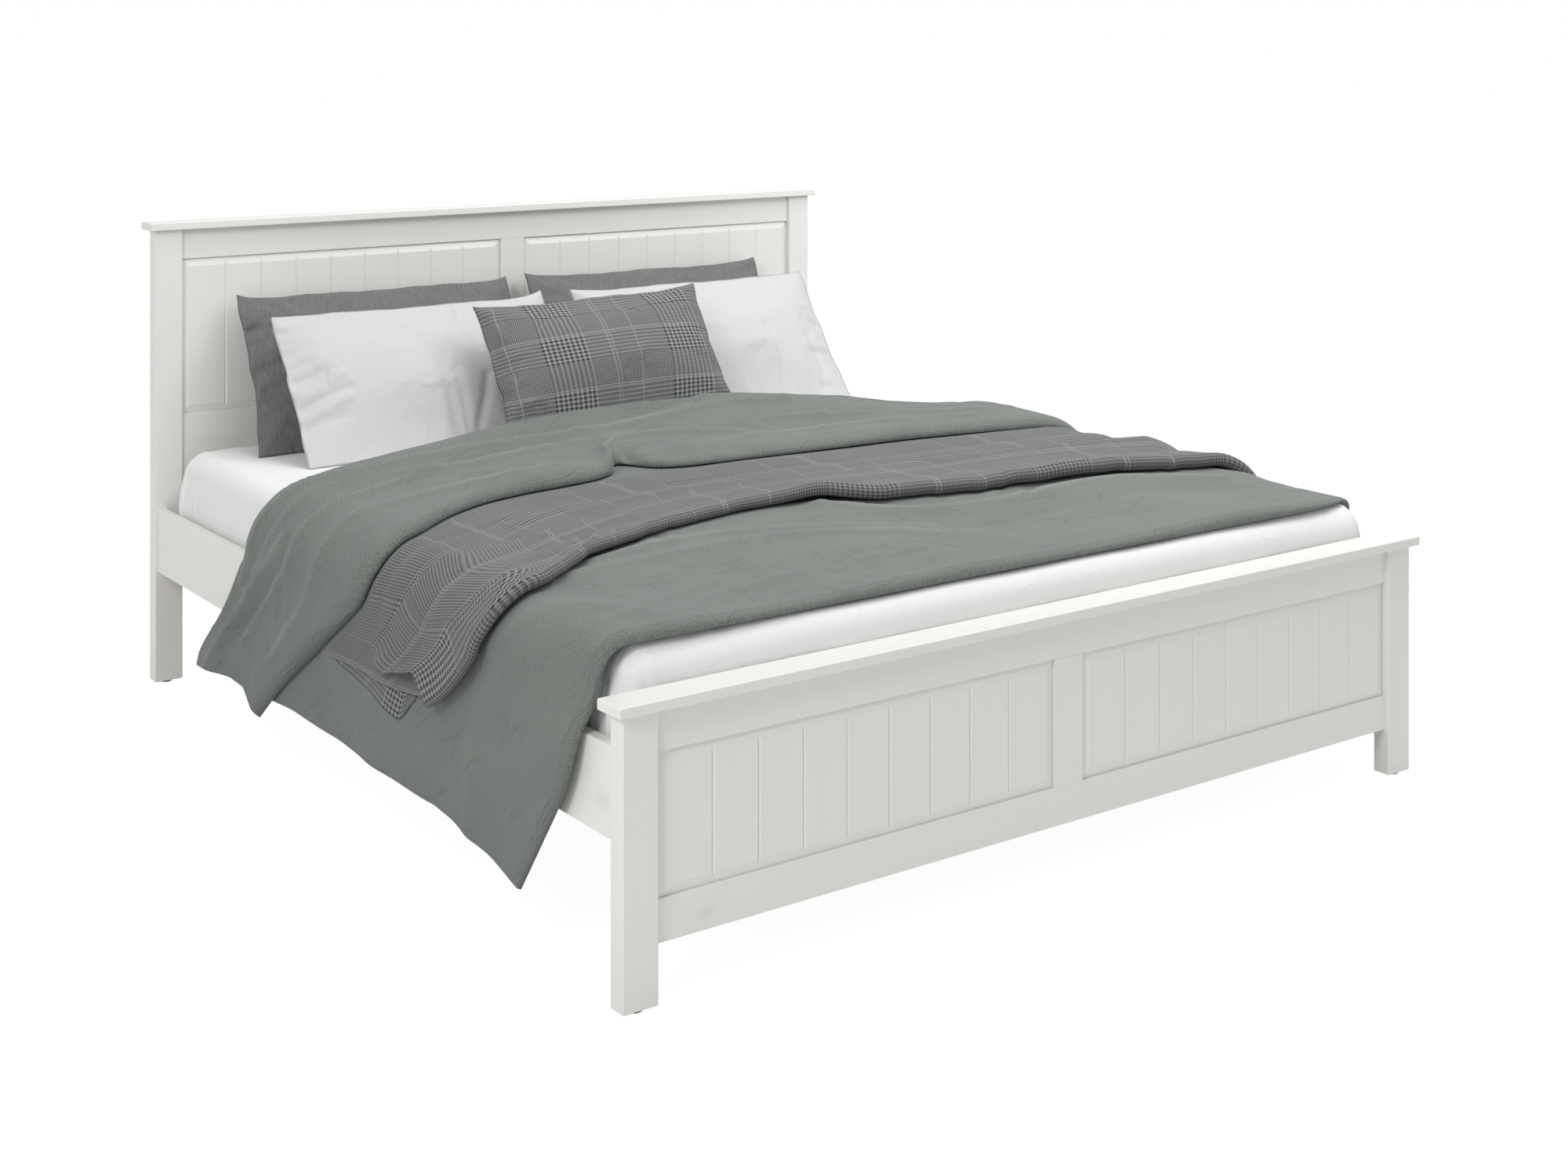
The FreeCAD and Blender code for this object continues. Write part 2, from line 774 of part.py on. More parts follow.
above = -cutter_room       # a drop that lies above the cloths
head_edge = on_top(
    [(flank_x, 517.0), (700.0, 462.0), (400.0, 437.0), (100.0, 437.0), (-200.0, 447.0)]
    + [(-400.0, 472.0), (-600.0, 527.0), (-820.0, 632.0), (-flank_x, 727.0)]
)
duvet_plan = [(-flank_x, duvet_foot_y), (flank_x, duvet_foot_y)] + head_edge
foot_left = from_foot(
    [(duvet_foot_gap, above), (duvet_foot_gap, 90.0), (148.0, 303.0), (240.0, duvet_tip_drop)]
    + [(329.0, 397.0), (479.0, duvet_side_drop)]
)
foot_right = from_foot(
    [(duvet_foot_gap, above), (duvet_foot_gap, 140.0), (207.0, duvet_tip_drop), (437.0, duvet_side_drop)]
)
fold_left = from_head([(374.0, 396.0), (492.0, 278.0), (597.0, 165.0), (727.0, -20.0), (727.0, above)])
duvet_left = foot_left + from_head([(831.0, duvet_side_drop), (669.0, 397.0)]) + fold_left
duvet_right = foot_right + from_head(
    [(617.0, duvet_side_drop), (437.0, 390.0), (517.0, 120.0), (517.0, above)]
)

turned_hem = on_top(
    [(-flank_x, 1252.0), (-832.0, 1172.0), (-627.0, 1057.0), (-450.0, 997.0), (-200.0, 977.0)]
    + [(300.0, 977.0), (600.0, 1017.0), (flank_x, 1057.0)]
)
turned_plan = turned_hem + moved(head_edge, turned_setback)
turned_left = from_head(
    [(1252.0, above), (1252.0, 40.0), (1086.0, 146.0), (999.0, 209.0), (820.0, 324.0)]
    + [(715.0, 407.0), (558.0, 399.0), (376.0, 396.0)]
)
turned_left += [(y - turned_setback, z) for y, z in fold_left[1:]]
turned_right = from_head(
    [(1057.0, above), (1057.0, 210.0), (697.0, 380.0), (439.0, 388.0), (519.0, 120.0), (519.0, above)]
)

inner_corner = duvet_corner - duvet_thickness
main_layer = cover(0, 0).common(cutter(duvet_plan, duvet_left, duvet_right))
main_layer = main_layer.cut(bed_room(drape_inner_x, drape_base, inner_corner))
turned_layer = cover(turned_thickness, turned_rise).common(cutter(turned_plan, turned_left, turned_right))
half_layer = duvet_thickness / 2
turned_layer = turned_layer.cut(
    bed_room(drape_inner_x + half_layer, drape_base + half_layer, inner_corner + half_layer)
)
parts["duvet"] = solids_of(main_layer.fuse(turned_layer).removeSplitter())

throw_plan = moved(turned_hem, throw_setback) + on_top(
    [(flank_x, 1637.0), (770.0, 1717.0), (600.0, 1637.0), (430.0, 1557.0), (100.0, 1527.0)]
    + [(-180.0, 1417.0), (-430.0, 1412.0), (-640.0, 1517.0), (-flank_x, 1697.0)]
)
throw_left = from_head(
    [(1252.0 + throw_setback, above), (1252.0 + throw_setback, 40.0), (1127.0, 130.0), (1072.0, 205.0)]
    + [(1203.0, 222.0), (1377.0, throw_drop), (1437.0, 197.0), (1521.0, 174.0), (1637.0, 70.0)]
    + [(1697.0, 10.0), (1697.0, above)]
)
throw_right = from_head(
    [(1057.0 + throw_setback, above), (1057.0 + throw_setback, 140.0), (1637.0, 210.0), (1637.0, above)]
)
# the throw bridges the duvet's folds, so its inside is plain and its outside follows them
throw_inner_x = drape_outer_x + wave_overshoot * fold_wave + throw_gap
throw_base = drape_top + wave_overshoot * 2 * top_wave + throw_gap
throw_grow = throw_inner_x + throw_thickness - drape_outer_x
throw_rise = throw_base + throw_thickness - drape_top
throw_layer = cover(throw_grow, throw_rise).common(cutter(throw_plan, throw_left, throw_right))
parts["throw"] = solids_of(throw_layer.cut(bed_room(throw_inner_x, throw_base, duvet_corner)))

# ---- pillows


def pillow_section(x, height, front, back):
    """Lens across a pillow: a crowned front, a flatter back and two seams."""
    half = height / 2
    seam = pillow_seam / 2
    edges = [
        Part.Arc(Vector(x, -half, seam), Vector(x, 0, front), Vector(x, half, seam)),
        Part.LineSegment(Vector(x, half, seam), Vector(x, half, -seam)),
        Part.Arc(Vector(x, half, -seam), Vector(x, 0, -back), Vector(x, -half, -seam)),
        Part.LineSegment(Vector(x, -half, -seam), Vector(x, -half, seam)),
    ]
    return Part.Wire([edge.toShape() for edge in edges])


pillow_stations = (-1.0, -0.93, -0.75, -0.4, 0.0, 0.4, 0.75, 0.93, 1.0)   # shares of half its width


def pillow(width, height, thickness):
    """Crowned pillow lying in its own plane, its four sides drawn in between the corners."""
    half = width / 2
    wires = []
    for share in pillow_stations:
        fullness = math.sqrt(1 - share ** 4) * (1 - end_slimming * share ** 2)
        bulge = pillow_seam + (thickness / 2 - pillow_seam) * fullness
        drawn = height - 2 * pillow_draw * (1 - share ** 2)
        wires.append(pillow_section(share * half, drawn, bulge, bulge))
    body = Part.makeLoft(wires, True, False)
    for _, side in SIDES:
        near, far = side * half, side * (half + thickness)
        bow = Part.Arc(
            Vector(near, -height / 2, 0),
            Vector(side * (half - pillow_draw), 0, 0),
            Vector(near, height / 2, 0),
        ).toShape()
        rest = [
            Vector(near, height / 2, 0),
            Vector(far, height / 2, 0),
            Vector(far, -height / 2, 0),
            Vector(near, -height / 2, 0),
        ]
        face = Part.Face(Part.Wire(bow.Edges + Part.makePolygon(rest).Edges))
        face.translate(Vector(0, 0, -thickness))
        body = body.cut(face.extrude(Vector(0, 0, 2 * thickness)))
    return body


def leaned(shape, height, x, stand, lean, carrier):
    """Stands a pillow up, leaning back, and lowers it onto what carries it."""
    placed = shape.copy()
    foot = Vector(x, board_face_y - stand, carrier.BoundBox.ZMax)
    upright = FreeCAD.Placement(foot, Rotation(Vector(1, 0, 0), 90 - lean))
    placed.Placement = upright.multiply(FreeCAD.Placement(Vector(0, height / 2 + pillow_seam, 0), Rotation()))
    for _ in range(settling_steps):
        drop = placed.distToShape(carrier)[0] - contact_gap
        placed.translate(Vector(0, 0, -drop))
    return placed


settling_steps = 3
pillow_shape = pillow(pillow_width, pillow_height, pillow_thickness)
cushion_shape = pillow(cushion_width, cushion_height, cushion_thickness)
for row, gap, shift, stand, lean in (
    ("back", back_pillow_gap, back_pillow_shift, back_pillow_stand, back_pillow_lean),
    ("front", front_pillow_gap, front_pillow_shift, front_pillow_stand, front_pillow_lean),
):
    for name, side in SIDES:
        x = shift + side * (pillow_width + gap) / 2
        parts[f"{row}_pillow_{name}"] = leaned(
            pillow_shape, pillow_height, x, stand, lean, parts["fitted_sheet"]
        )
parts["cushion"] = leaned(
    cushion_shape, cushion_height, cushion_shift, cushion_stand, cushion_lean, parts["duvet"]
)

# ---- files

os.makedirs("parts", exist_ok=True)
for node, shape in parts.items():
    shape.exportStep(f"parts/{node}.step")
    litres = shape.Volume / 1e6
    print(f"{node:28s} {len(shape.Solids):3d} solids {litres:10.4f} litres valid {shape.isValid()}")
print(len(parts), "nodes")
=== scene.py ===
import math
import bpy
import numpy as np
from mathutils import Matrix, Vector


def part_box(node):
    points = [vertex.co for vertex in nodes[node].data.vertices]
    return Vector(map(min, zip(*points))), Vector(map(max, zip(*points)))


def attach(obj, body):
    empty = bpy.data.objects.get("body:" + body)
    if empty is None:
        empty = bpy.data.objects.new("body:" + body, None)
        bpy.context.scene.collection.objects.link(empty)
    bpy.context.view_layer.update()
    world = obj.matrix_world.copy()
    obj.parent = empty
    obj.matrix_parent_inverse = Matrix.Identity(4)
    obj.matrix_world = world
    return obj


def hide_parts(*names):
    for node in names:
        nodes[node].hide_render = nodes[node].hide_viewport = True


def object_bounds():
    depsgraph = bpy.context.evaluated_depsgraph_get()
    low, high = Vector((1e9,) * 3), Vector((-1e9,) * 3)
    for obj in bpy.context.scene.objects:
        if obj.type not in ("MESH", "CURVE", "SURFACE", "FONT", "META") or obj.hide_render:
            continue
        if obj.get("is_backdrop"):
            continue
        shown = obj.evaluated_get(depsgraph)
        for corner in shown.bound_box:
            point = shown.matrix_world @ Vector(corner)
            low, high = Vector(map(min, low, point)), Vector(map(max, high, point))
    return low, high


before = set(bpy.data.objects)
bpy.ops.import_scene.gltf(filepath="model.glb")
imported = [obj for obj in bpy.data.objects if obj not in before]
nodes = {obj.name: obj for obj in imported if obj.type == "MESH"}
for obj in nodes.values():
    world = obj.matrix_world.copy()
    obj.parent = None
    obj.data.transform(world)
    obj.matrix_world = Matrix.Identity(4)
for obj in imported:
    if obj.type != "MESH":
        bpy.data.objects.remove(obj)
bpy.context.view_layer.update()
scene = bpy.context.scene
print("frame loaded:", len(nodes), "nodes")


def paint(r, g, b):
    # screen colour, 0 to 255, as Blender's linear colour
    shares = [c / 255 for c in (r, g, b)]
    return (*[c / 12.92 if c <= 0.04 else ((c + 0.055) / 1.055) ** 2.4 for c in shares], 1.0)


# small helpers for node trees


def feed(tree, node, values):
    for socket, value in values.items():
        if isinstance(value, bpy.types.NodeSocket):
            tree.links.new(value, node.inputs[socket])
        else:
            node.inputs[socket].default_value = value
    return node


def put(tree, kind, values=None, **props):
    made = tree.nodes.new(kind if "Node" in kind else "ShaderNode" + kind)
    for prop, value in props.items():
        setattr(made, prop, value)
    return feed(tree, made, values or {})


def emptyTree(owner):
    owner.use_nodes = True
    owner.node_tree.nodes.clear()
    return owner.node_tree


def newMaterial(name, settings=None):
    made = bpy.data.materials.new(name)
    tree = emptyTree(made)
    shader = put(tree, "BsdfPrincipled", settings)
    put(tree, "OutputMaterial", {0: shader.outputs[0]})
    return made, tree, shader


def calc(tree, operation, a, b=0.0, c=0.0):
    return put(tree, "Math", {0: a, 1: b, 2: c}, operation=operation).outputs[0]


def plus(tree, a, b):
    return calc(tree, "ADD", a, b)


def times(tree, a, b):
    return calc(tree, "MULTIPLY", a, b)


def blendColour(tree, factor, a, b):
    return put(tree, "Mix", {"Factor": factor, 6: a, 7: b}, data_type="RGBA").outputs[2]


def shifted(tree, low, high, factor):
    # factor 0..1 taken to low..high
    return put(tree, "MapRange", {"Value": factor, "To Min": low, "To Max": high}).outputs[0]


def ramp(tree, value, start, end, **props):
    # 0 at start, 1 at end
    return put(tree, "MapRange", {"Value": value, "From Min": start, "From Max": end},
               **props).outputs[0]


def cloudy(tree, vector, scale, detail=2.0, roughness=0.5):
    values = {"Vector": vector, "Scale": scale, "Detail": detail, "Roughness": roughness}
    return put(tree, "TexNoise", values).outputs["Fac"]


def bumped(tree, shader, height, strength, distance):
    bump = put(tree, "Bump", {"Height": height, "Strength": strength, "Distance": distance})
    feed(tree, shader, {"Normal": bump.outputs[0]})


# painted pine, with the grain and a few knots just showing through the satin paint
painted = {
    "colour": paint(232, 233, 228),
    "shade": paint(229, 230, 225),
    "knotColour": paint(214, 211, 202),
    "roughness": (0.34, 0.46),
    "grain": 46.0,  # across the board, per metre
    "stretch": 0.05,  # along the board, as a share of that
    "bump": 0.00009,
}
knots = {
    # centre of the knot, radius
    "side_rail_left": ((-0.9325, -0.985, 0.316), 0.016),
    "side_rail_right": ((0.9325, 0.31, 0.345), 0.013),
    "foot_bottom_rail": ((-0.779, -1.042, 0.122), 0.012),
    "head_lower_board": ((0.33, 1.024, 0.41), 0.018),
}


def alongBoard(tree, axis, stretch):
    coords = put(tree, "TexCoord").outputs["Object"]
    scale = [stretch if way == axis else 1.0 for way in "xyz"]
    return coords, put(tree, "Mapping", {"Vector": coords, "Scale": scale}).outputs[0]


def paintedPine(name, axis, knot=None):
    made, tree, shader = newMaterial(name, {"Coat Weight": 0.12, "Coat Roughness": 0.3})
    coords, board = alongBoard(tree, axis, painted["stretch"])
    grain = cloudy(tree, board, painted["grain"], 5.0, 0.62)
    brush = cloudy(tree, board, painted["grain"] * 7)
    colour = blendColour(tree, calc(tree, "POWER", grain, 1.6), painted["colour"], painted["shade"])
    height = plus(tree, times(tree, grain, 0.7), times(tree, brush, 0.22))
    if knot:
        centre, radius = knot
        drawnOut = [0.62 if way == axis else 1.0 for way in "xyz"]
        away = put(tree, "VectorMath", {0: coords, 1: centre}, operation="SUBTRACT").outputs[0]
        away = put(tree, "VectorMath", {0: away, 1: drawnOut}, operation="MULTIPLY").outputs[0]
        far = put(tree, "VectorMath", {0: away}, operation="LENGTH").outputs["Value"]
        far = plus(tree, far, times(tree, cloudy(tree, coords, 90.0), radius * 0.5))
        core = ramp(tree, far, radius * 1.5, radius * 0.5)
        fade = ramp(tree, far, radius * 4.0, radius)
        rings = calc(tree, "SINE", times(tree, far, 900.0))
        ringed = times(tree, plus(tree, rings, 1.0), times(tree, fade, 0.09))
        share = calc(tree, "MAXIMUM", times(tree, core, 0.55), ringed)
        colour = blendColour(tree, share, colour, painted["knotColour"])
        height = calc(tree, "SUBTRACT", height, times(tree, core, 0.6))
    feed(tree, shader, {"Base Color": colour, "Roughness": shifted(tree, *painted["roughness"], grain)})
    bumped(tree, shader, height, 0.55, painted["bump"])
    return made


# bare wood of the slatted base
bareWood = {
    "pine": {"light": paint(214, 184, 140), "dark": paint(188, 146, 98), "rings": 26.0},
    "beech": {"light": paint(206, 170, 134), "dark": paint(184, 142, 106), "rings": 60.0},
}


def bareTimber(name, kind, axis):
    made, tree, shader = newMaterial(name)
    look = bareWood[kind]
    board = alongBoard(tree, axis, 0.07)[1]
    swirl = cloudy(tree, board, 9.0, 3.0)
    rings = put(tree, "VectorMath", {0: board, "Scale": look["rings"]}, operation="SCALE").outputs[0]
    values = {"Vector": rings, "Scale": 0.55, "Distortion": 5.0, "Detail": 3.0, "Detail Scale": 1.2}
    wave = put(tree, "TexWave", values, wave_type="RINGS", rings_direction="SPHERICAL").outputs["Fac"]
    fibres = cloudy(tree, board, 240.0)
    ringMix = times(tree, wave, plus(tree, swirl, 0.3))
    colour = blendColour(tree, ringMix, look["light"], look["dark"])
    colour = blendColour(tree, times(tree, fibres, 0.25), colour, look["dark"])
    feed(tree, shader, {"Base Color": colour, "Roughness": shifted(tree, 0.55, 0.75, fibres)})
    bumped(tree, shader, plus(tree, fibres, wave), 0.4, 0.0003)
    return made


def zincSteel(name):
    made, tree, shader = newMaterial(name, {"Metallic": 1.0})
    coords = put(tree, "TexCoord").outputs["Object"]
    spangle = put(tree, "TexVoronoi", {"Vector": coords, "Scale": 160.0}).outputs["Color"]
    spread = put(tree, "SeparateColor", {0: spangle}).outputs[0]
    colour = blendColour(tree, spread, paint(176, 180, 184), paint(202, 205, 208))
    feed(tree, shader, {"Base Color": colour, "Roughness": shifted(tree, 0.28, 0.46, spread)})
    bumped(tree, shader, cloudy(tree, coords, 700.0), 0.25, 0.0001)
    return made


def mouldedPlastic(name):
    made, tree, shader = newMaterial(name, {"Roughness": 0.5})
    speck = cloudy(tree, put(tree, "TexCoord").outputs["Object"], 1400.0)
    colour = blendColour(tree, speck, paint(70, 71, 72), paint(84, 85, 86))
    feed(tree, shader, {"Base Color": colour})
    bumped(tree, shader, speck, 0.3, 0.0001)
    return made


# cloths: each piece has a UV map in metres of its flat cloth


def flatCloth(tree):
    place = put(tree, "UVMap", uv_map="cloth").outputs[0]
    split = put(tree, "SeparateXYZ", {0: place})
    return place, split.outputs[0], split.outputs[1]


def threads(tree, u, v, pitch):
    # plain weave: over and under, as a height from 0 to 1
    across, along = (calc(tree, "SINE", times(tree, run, math.tau / pitch)) for run in (u, v))
    return calc(tree, "MULTIPLY_ADD", times(tree, across, along), 0.5, 0.5)


def creaseWeb(tree, place):
    # thin crease lines that come and go
    bent = put(tree, "TexNoise", {"Vector": place, "Scale": 5.0, "Detail": 2.0}).outputs["Color"]
    values = {0: bent, 1: (0.16, 0.16, 0.0), 2: place}
    moved = put(tree, "VectorMath", values, operation="MULTIPLY_ADD").outputs[0]
    values = {"Vector": moved, "Rotation": (0.0, 0.0, 0.5), "Scale": (1.0, 2.1, 1.0)}
    slanted = put(tree, "Mapping", values).outputs[0]
    total = 0.0
    for scale, wide in ((4.5, 0.035), (9.0, 0.045)):
        values = {"Vector": slanted, "Scale": scale}
        edge = put(tree, "TexVoronoi", values, feature="DISTANCE_TO_EDGE").outputs["Distance"]
        ridge = ramp(tree, edge, wide, 0.0, interpolation_type="SMOOTHSTEP")
        seen = ramp(tree, cloudy(tree, place, scale * 0.9), 0.47, 0.62)
        total = calc(tree, "MULTIPLY_ADD", ridge, seen, total)
    return total


def plainCloth(name, colour, dark, pitch=0.0022, mottle=260.0, mottling=0.5, woven=0.14, slub=0.0,
               sheen=0.15, relief=0.0006, creased=0.0, crumpled=1.6):
    # pitch of the weave in metres; mottle, slub and crumple are cloudy, creased is a web of lines and
    # also turns on a painted highlight along the fold crests
    settings = {"Roughness": 0.88, "Sheen Weight": sheen, "Sheen Roughness": 0.5,
                "Specular IOR Level": 0.25}
    made, tree, shader = newMaterial(name, settings)
    place, u, v = flatCloth(tree)
    weave = threads(tree, u, v, pitch)
    speckle = cloudy(tree, place, mottle, 3.0, 0.7)
    amount = times(tree, calc(tree, "MULTIPLY_ADD", speckle, 1.7, -0.35), mottling * 2)
    amount = plus(tree, times(tree, cloudy(tree, place, 6.0), 0.25), amount)
    if slub:
        streaks = put(tree, "Mapping", {"Vector": place, "Scale": (1.0, 0.045, 1.0)}).outputs[0]
        streak = cloudy(tree, streaks, 620.0, 3.0, 0.6)
        amount = plus(tree, amount, calc(tree, "MULTIPLY_ADD", streak, slub * 2, -slub))
    base = blendColour(tree, amount, colour, dark)
    base = blendColour(tree, times(tree, weave, woven), base, dark)
    height = plus(tree, times(tree, weave, 0.35), times(tree, speckle, 0.6))
    height = plus(tree, height, times(tree, cloudy(tree, place, 38.0, 3.0, 0.55), crumpled))
    if creased:
        # painted highlight: lighter in colour along the crests of the folds, where light would catch
        # them
        crest = put(tree, "Attribute", attribute_name="crest").outputs["Fac"]
        base = blendColour(tree, times(tree, crest, 0.17), base, paint(196, 200, 195))
        height = calc(tree, "MULTIPLY_ADD", creaseWeb(tree, place), creased, height)
    feed(tree, shader, {"Base Color": base})
    bumped(tree, shader, height, 0.6, relief)
    return made


# woven check: bands of broad stripes cross fine ground, all in one twill
checks = {
    "dark": paint(47, 49, 50),
    "light": paint(161, 163, 161),
    "lineLight": paint(172, 174, 172),
    "blur": paint(112, 114, 114),
    "fine": 0.0050,
    "twill": 0.0050,
    # along the cloth, then across it: repeat, stripe, width of the striped band and thin light lines
    "cushion": (
        {"repeat": 0.347, "stripe": 0.01333, "band": 0.120, "lines": (0.181, 0.190, 0.258)},
        {"repeat": 0.1375, "stripe": 0.00943, "band": 0.066, "lines": (0.070,)},
    ),
    "throw": (
        {"repeat": 0.45, "stripe": 0.0095, "band": 0.1425, "lines": (0.222, 0.231, 0.335)},
        {"repeat": 0.38, "stripe": 0.0118, "band": 0.0826, "lines": (0.165, 0.174, 0.270)},
    ),
}


def stripes(tree, run, repeat, share):
    # 1 over a share of each repeat, else 0
    return calc(tree, "LESS_THAN", calc(tree, "FRACT", calc(tree, "DIVIDE", run, repeat)), share)


def checkedCloth(name, runs, deep=0.0):
    settings = {"Roughness": 0.9, "Sheen Weight": 0.1, "Specular IOR Level": 0.2}
    made, tree, shader = newMaterial(name, settings)
    place, u, v = flatCloth(tree)
    tones, bands, rule = [], [], 0.0
    for run, look in zip((u, v), runs):
        start = calc(tree, "FRACT", calc(tree, "DIVIDE", run, look["repeat"]))
        inRepeat = times(tree, start, look["repeat"])
        bands.append(calc(tree, "LESS_THAN", inRepeat, look["band"]))
        broad = stripes(tree, inRepeat, look["stripe"], 0.54)
        fine = stripes(tree, run, checks["fine"], 0.58)
        tones.append((calc(tree, "SUBTRACT", broad, 0.5), calc(tree, "MULTIPLY_ADD", fine, 0.7, 0.17)))
        for at in look["lines"]:
            rule = calc(tree, "MAXIMUM", rule, calc(tree, "COMPARE", inRepeat, at, 0.0012))
    diagonal = calc(tree, "SINE", times(tree, plus(tree, u, v), math.tau / checks["twill"]))
    over = calc(tree, "MULTIPLY_ADD", diagonal, 0.30, 0.5)
    for i in (0, 1):
        # stripes are boldest where two bands cross
        strength = calc(tree, "MULTIPLY_ADD", bands[1 - i], 0.35, 0.65)
        broad = calc(tree, "MULTIPLY_ADD", tones[i][0], strength, 0.5)
        tones[i] = put(tree, "Mix", {"Factor": bands[i], 2: tones[i][1], 3: broad}).outputs[0]
    under = times(tree, tones[1], calc(tree, "SUBTRACT", 1.0, over))
    tone = calc(tree, "MULTIPLY_ADD", tones[0], over, under)
    # painted shade: tones pulled towards dark by this share, for a cloth that lies flat and takes more
    # light
    tone = calc(tree, "MULTIPLY_ADD", tone, 1 - deep, deep)
    colour = blendColour(tree, tone, checks["light"], checks["dark"])
    colour = blendColour(tree, times(tree, rule, 0.5), colour, checks["lineLight"])
    speckle = cloudy(tree, place, 420.0, 2.0, 0.6)
    colour = blendColour(tree, times(tree, speckle, 0.25), colour, checks["blur"])
    feed(tree, shader, {"Base Color": colour})
    bumped(tree, shader, plus(tree, times(tree, diagonal, 0.4), speckle), 0.5, 0.0005)
    return made


def ticking(name):
    made, tree, shader = newMaterial(name, {"Roughness": 0.9})
    u, v = flatCloth(tree)[1:]
    stripe = stripes(tree, plus(tree, u, 5.0), 0.03, 0.12)
    weave = threads(tree, u, v, 0.003)
    colour = blendColour(tree, stripe, paint(226, 222, 210), paint(168, 172, 178))
    colour = blendColour(tree, times(tree, weave, 0.1), colour, paint(190, 186, 176))
    feed(tree, shader, {"Base Color": colour})
    bumped(tree, shader, weave, 0.5, 0.0004)
    return made


clothLook = {
    "duvet": plainCloth(
        "duvetCotton", paint(160, 165, 159), paint(101, 106, 102), 0.0042, 400.0, 0.62, 0.30,
        sheen=0.10, relief=0.0008, creased=3.4, crumpled=0.7,
    ),
    "grey": plainCloth("greyCotton", paint(129, 130, 129), paint(82, 84, 84), mottling=0.25, slub=1.1),
    "white": plainCloth(
        "whiteCotton", paint(211, 212, 211), paint(202, 203, 202), mottling=0.3, sheen=0.05, creased=0.6
    ),
    "sheet": plainCloth(
        "sheetCotton", paint(243, 244, 243), paint(236, 237, 236), mottling=0.3, sheen=0.05, creased=1.6
    ),
    "cushion": checkedCloth("cushionCheck", checks["cushion"]),
    # the throw lies flat in more light, so its check is darkened with painted shade
    "throw": checkedCloth("throwCheck", checks["throw"], 0.17),
    "ticking": ticking("mattressTicking"),
    "thread": plainCloth("sewingThread", paint(118, 123, 118), paint(92, 97, 93), mottle=900.0),
}

# finishes of the frame
steel = zincSteel("zincSteel")
plastic = mouldedPlastic("glidePlastic")
metalParts = ("corner_bracket", "beam_hanger", "leg_", "levelling_foot")
timber = {}


def boardMaterial(kind, axis, knotted=""):
    key = kind + axis.upper() + knotted.title().replace("_", "")
    if key not in timber:
        if kind == "painted":
            timber[key] = paintedPine(key, axis, knots.get(knotted))
        else:
            timber[key] = bareTimber(key, kind, axis)
    return timber[key]


def frameFinish(name):
    if name == "post_glides":
        return plastic
    if name.endswith("screws") or name.startswith(metalParts):
        return steel
    if name.startswith("slat_"):
        return boardMaterial("pine", "x")
    if name.startswith("ledger_") or name == "centre_beam":
        return boardMaterial("pine", "y")
    if name.startswith("centre_leg") or name == "cap_dowels":
        return boardMaterial("beech", "z")
    upright = any(word in name for word in ("post", "panel", "stile"))
    axis = "y" if name.startswith("side_rail") else "z" if upright else "x"
    return boardMaterial("painted", axis, name if name in knots else "")


for nodeName, piece in nodes.items():
    piece.data.materials.clear()
    piece.data.materials.append(frameFinish(nodeName))
print("frame painted:", len(timber), "timber finishes")


# meshes of soft pieces


def meshPiece(name, points, faces, look, flat=None):
    mesh = bpy.data.meshes.new(name)
    mesh.from_pydata(np.asarray(points, float).reshape(-1, 3).tolist(), [], faces)
    mesh.update()
    if flat is not None:
        layer = mesh.uv_layers.new(name="cloth")
        corner = np.zeros(len(mesh.loops), np.int32)
        mesh.loops.foreach_get("vertex_index", corner)
        layer.data.foreach_set("uv", np.asarray(flat, np.float32).reshape(-1, 2)[corner].ravel())
    mesh.polygons.foreach_set("use_smooth", np.ones(len(mesh.polygons), bool))
    mesh.materials.append(look)
    made = bpy.data.objects.new(name, mesh)
    scene.collection.objects.link(made)
    return made


def meshPoints(piece):
    co = np.zeros(len(piece.data.vertices) * 3, np.float32)
    piece.data.vertices.foreach_get("co", co)
    return co.reshape(-1, 3)


def applyModifiers(piece):
    depsgraph = bpy.context.evaluated_depsgraph_get()
    made = bpy.data.meshes.new_from_object(piece.evaluated_get(depsgraph))
    piece.modifiers.clear()
    old, piece.data = piece.data, made
    bpy.data.meshes.remove(old)


def thicken(piece, thickness, offset):
    wall = piece.modifiers.new("cloth", "SOLIDIFY")
    wall.thickness, wall.offset = thickness, offset


def gridFaces(rows, columns, index):
    faces = []
    for i in range(rows - 1):
        for j in range(columns - 1):
            faces.append((index(i, j), index(i + 1, j), index(i + 1, j + 1), index(i, j + 1)))
    return faces


def closedPad(name, top, bottom, flat, look):
    # two sheets of one grid that share their outline
    rows, columns = top.shape[:2]
    inner = (rows - 2) * (columns - 2)

    def above(i, j):
        return i * columns + j

    def below(i, j):
        if i in (0, rows - 1) or j in (0, columns - 1):
            return above(i, j)
        return rows * columns + (i - 1) * (columns - 2) + j - 1

    faces = gridFaces(rows, columns, above) + [f[::-1] for f in gridFaces(rows, columns, below)]
    points = np.concatenate([top.reshape(-1, 3), bottom[1:-1, 1:-1].reshape(inner, 3)])
    uv = np.concatenate([flat.reshape(-1, 2), flat[1:-1, 1:-1].reshape(inner, 2)])
    return meshPiece(name, points, faces, look, uv)


# the form that duvet and throw lie on: a flat top, a round shoulder and hanging sides
form = {"top": 0.5403, "sideX": 0.9445, "shoulderLeft": 0.075, "shoulderRight": 0.105}


def onForm(s, y, h):
    # s runs across the bed along the cloth from its middle, h stands off the form
    radius = np.where(s > 0, form["shoulderRight"], form["shoulderLeft"])
    flatHalf = form["sideX"] - radius
    away = np.abs(s)
    turn = np.clip((away - flatHalf) / radius, 0, math.pi / 2)
    drop = np.maximum(away - flatHalf - radius * math.pi / 2, 0)
    x = np.minimum(away, flatHalf) + (radius + h) * np.sin(turn)
    z = form["top"] - radius + (radius + h) * np.cos(turn) - drop
    return np.stack([np.sign(s) * x, y + 0 * s, z], -1)


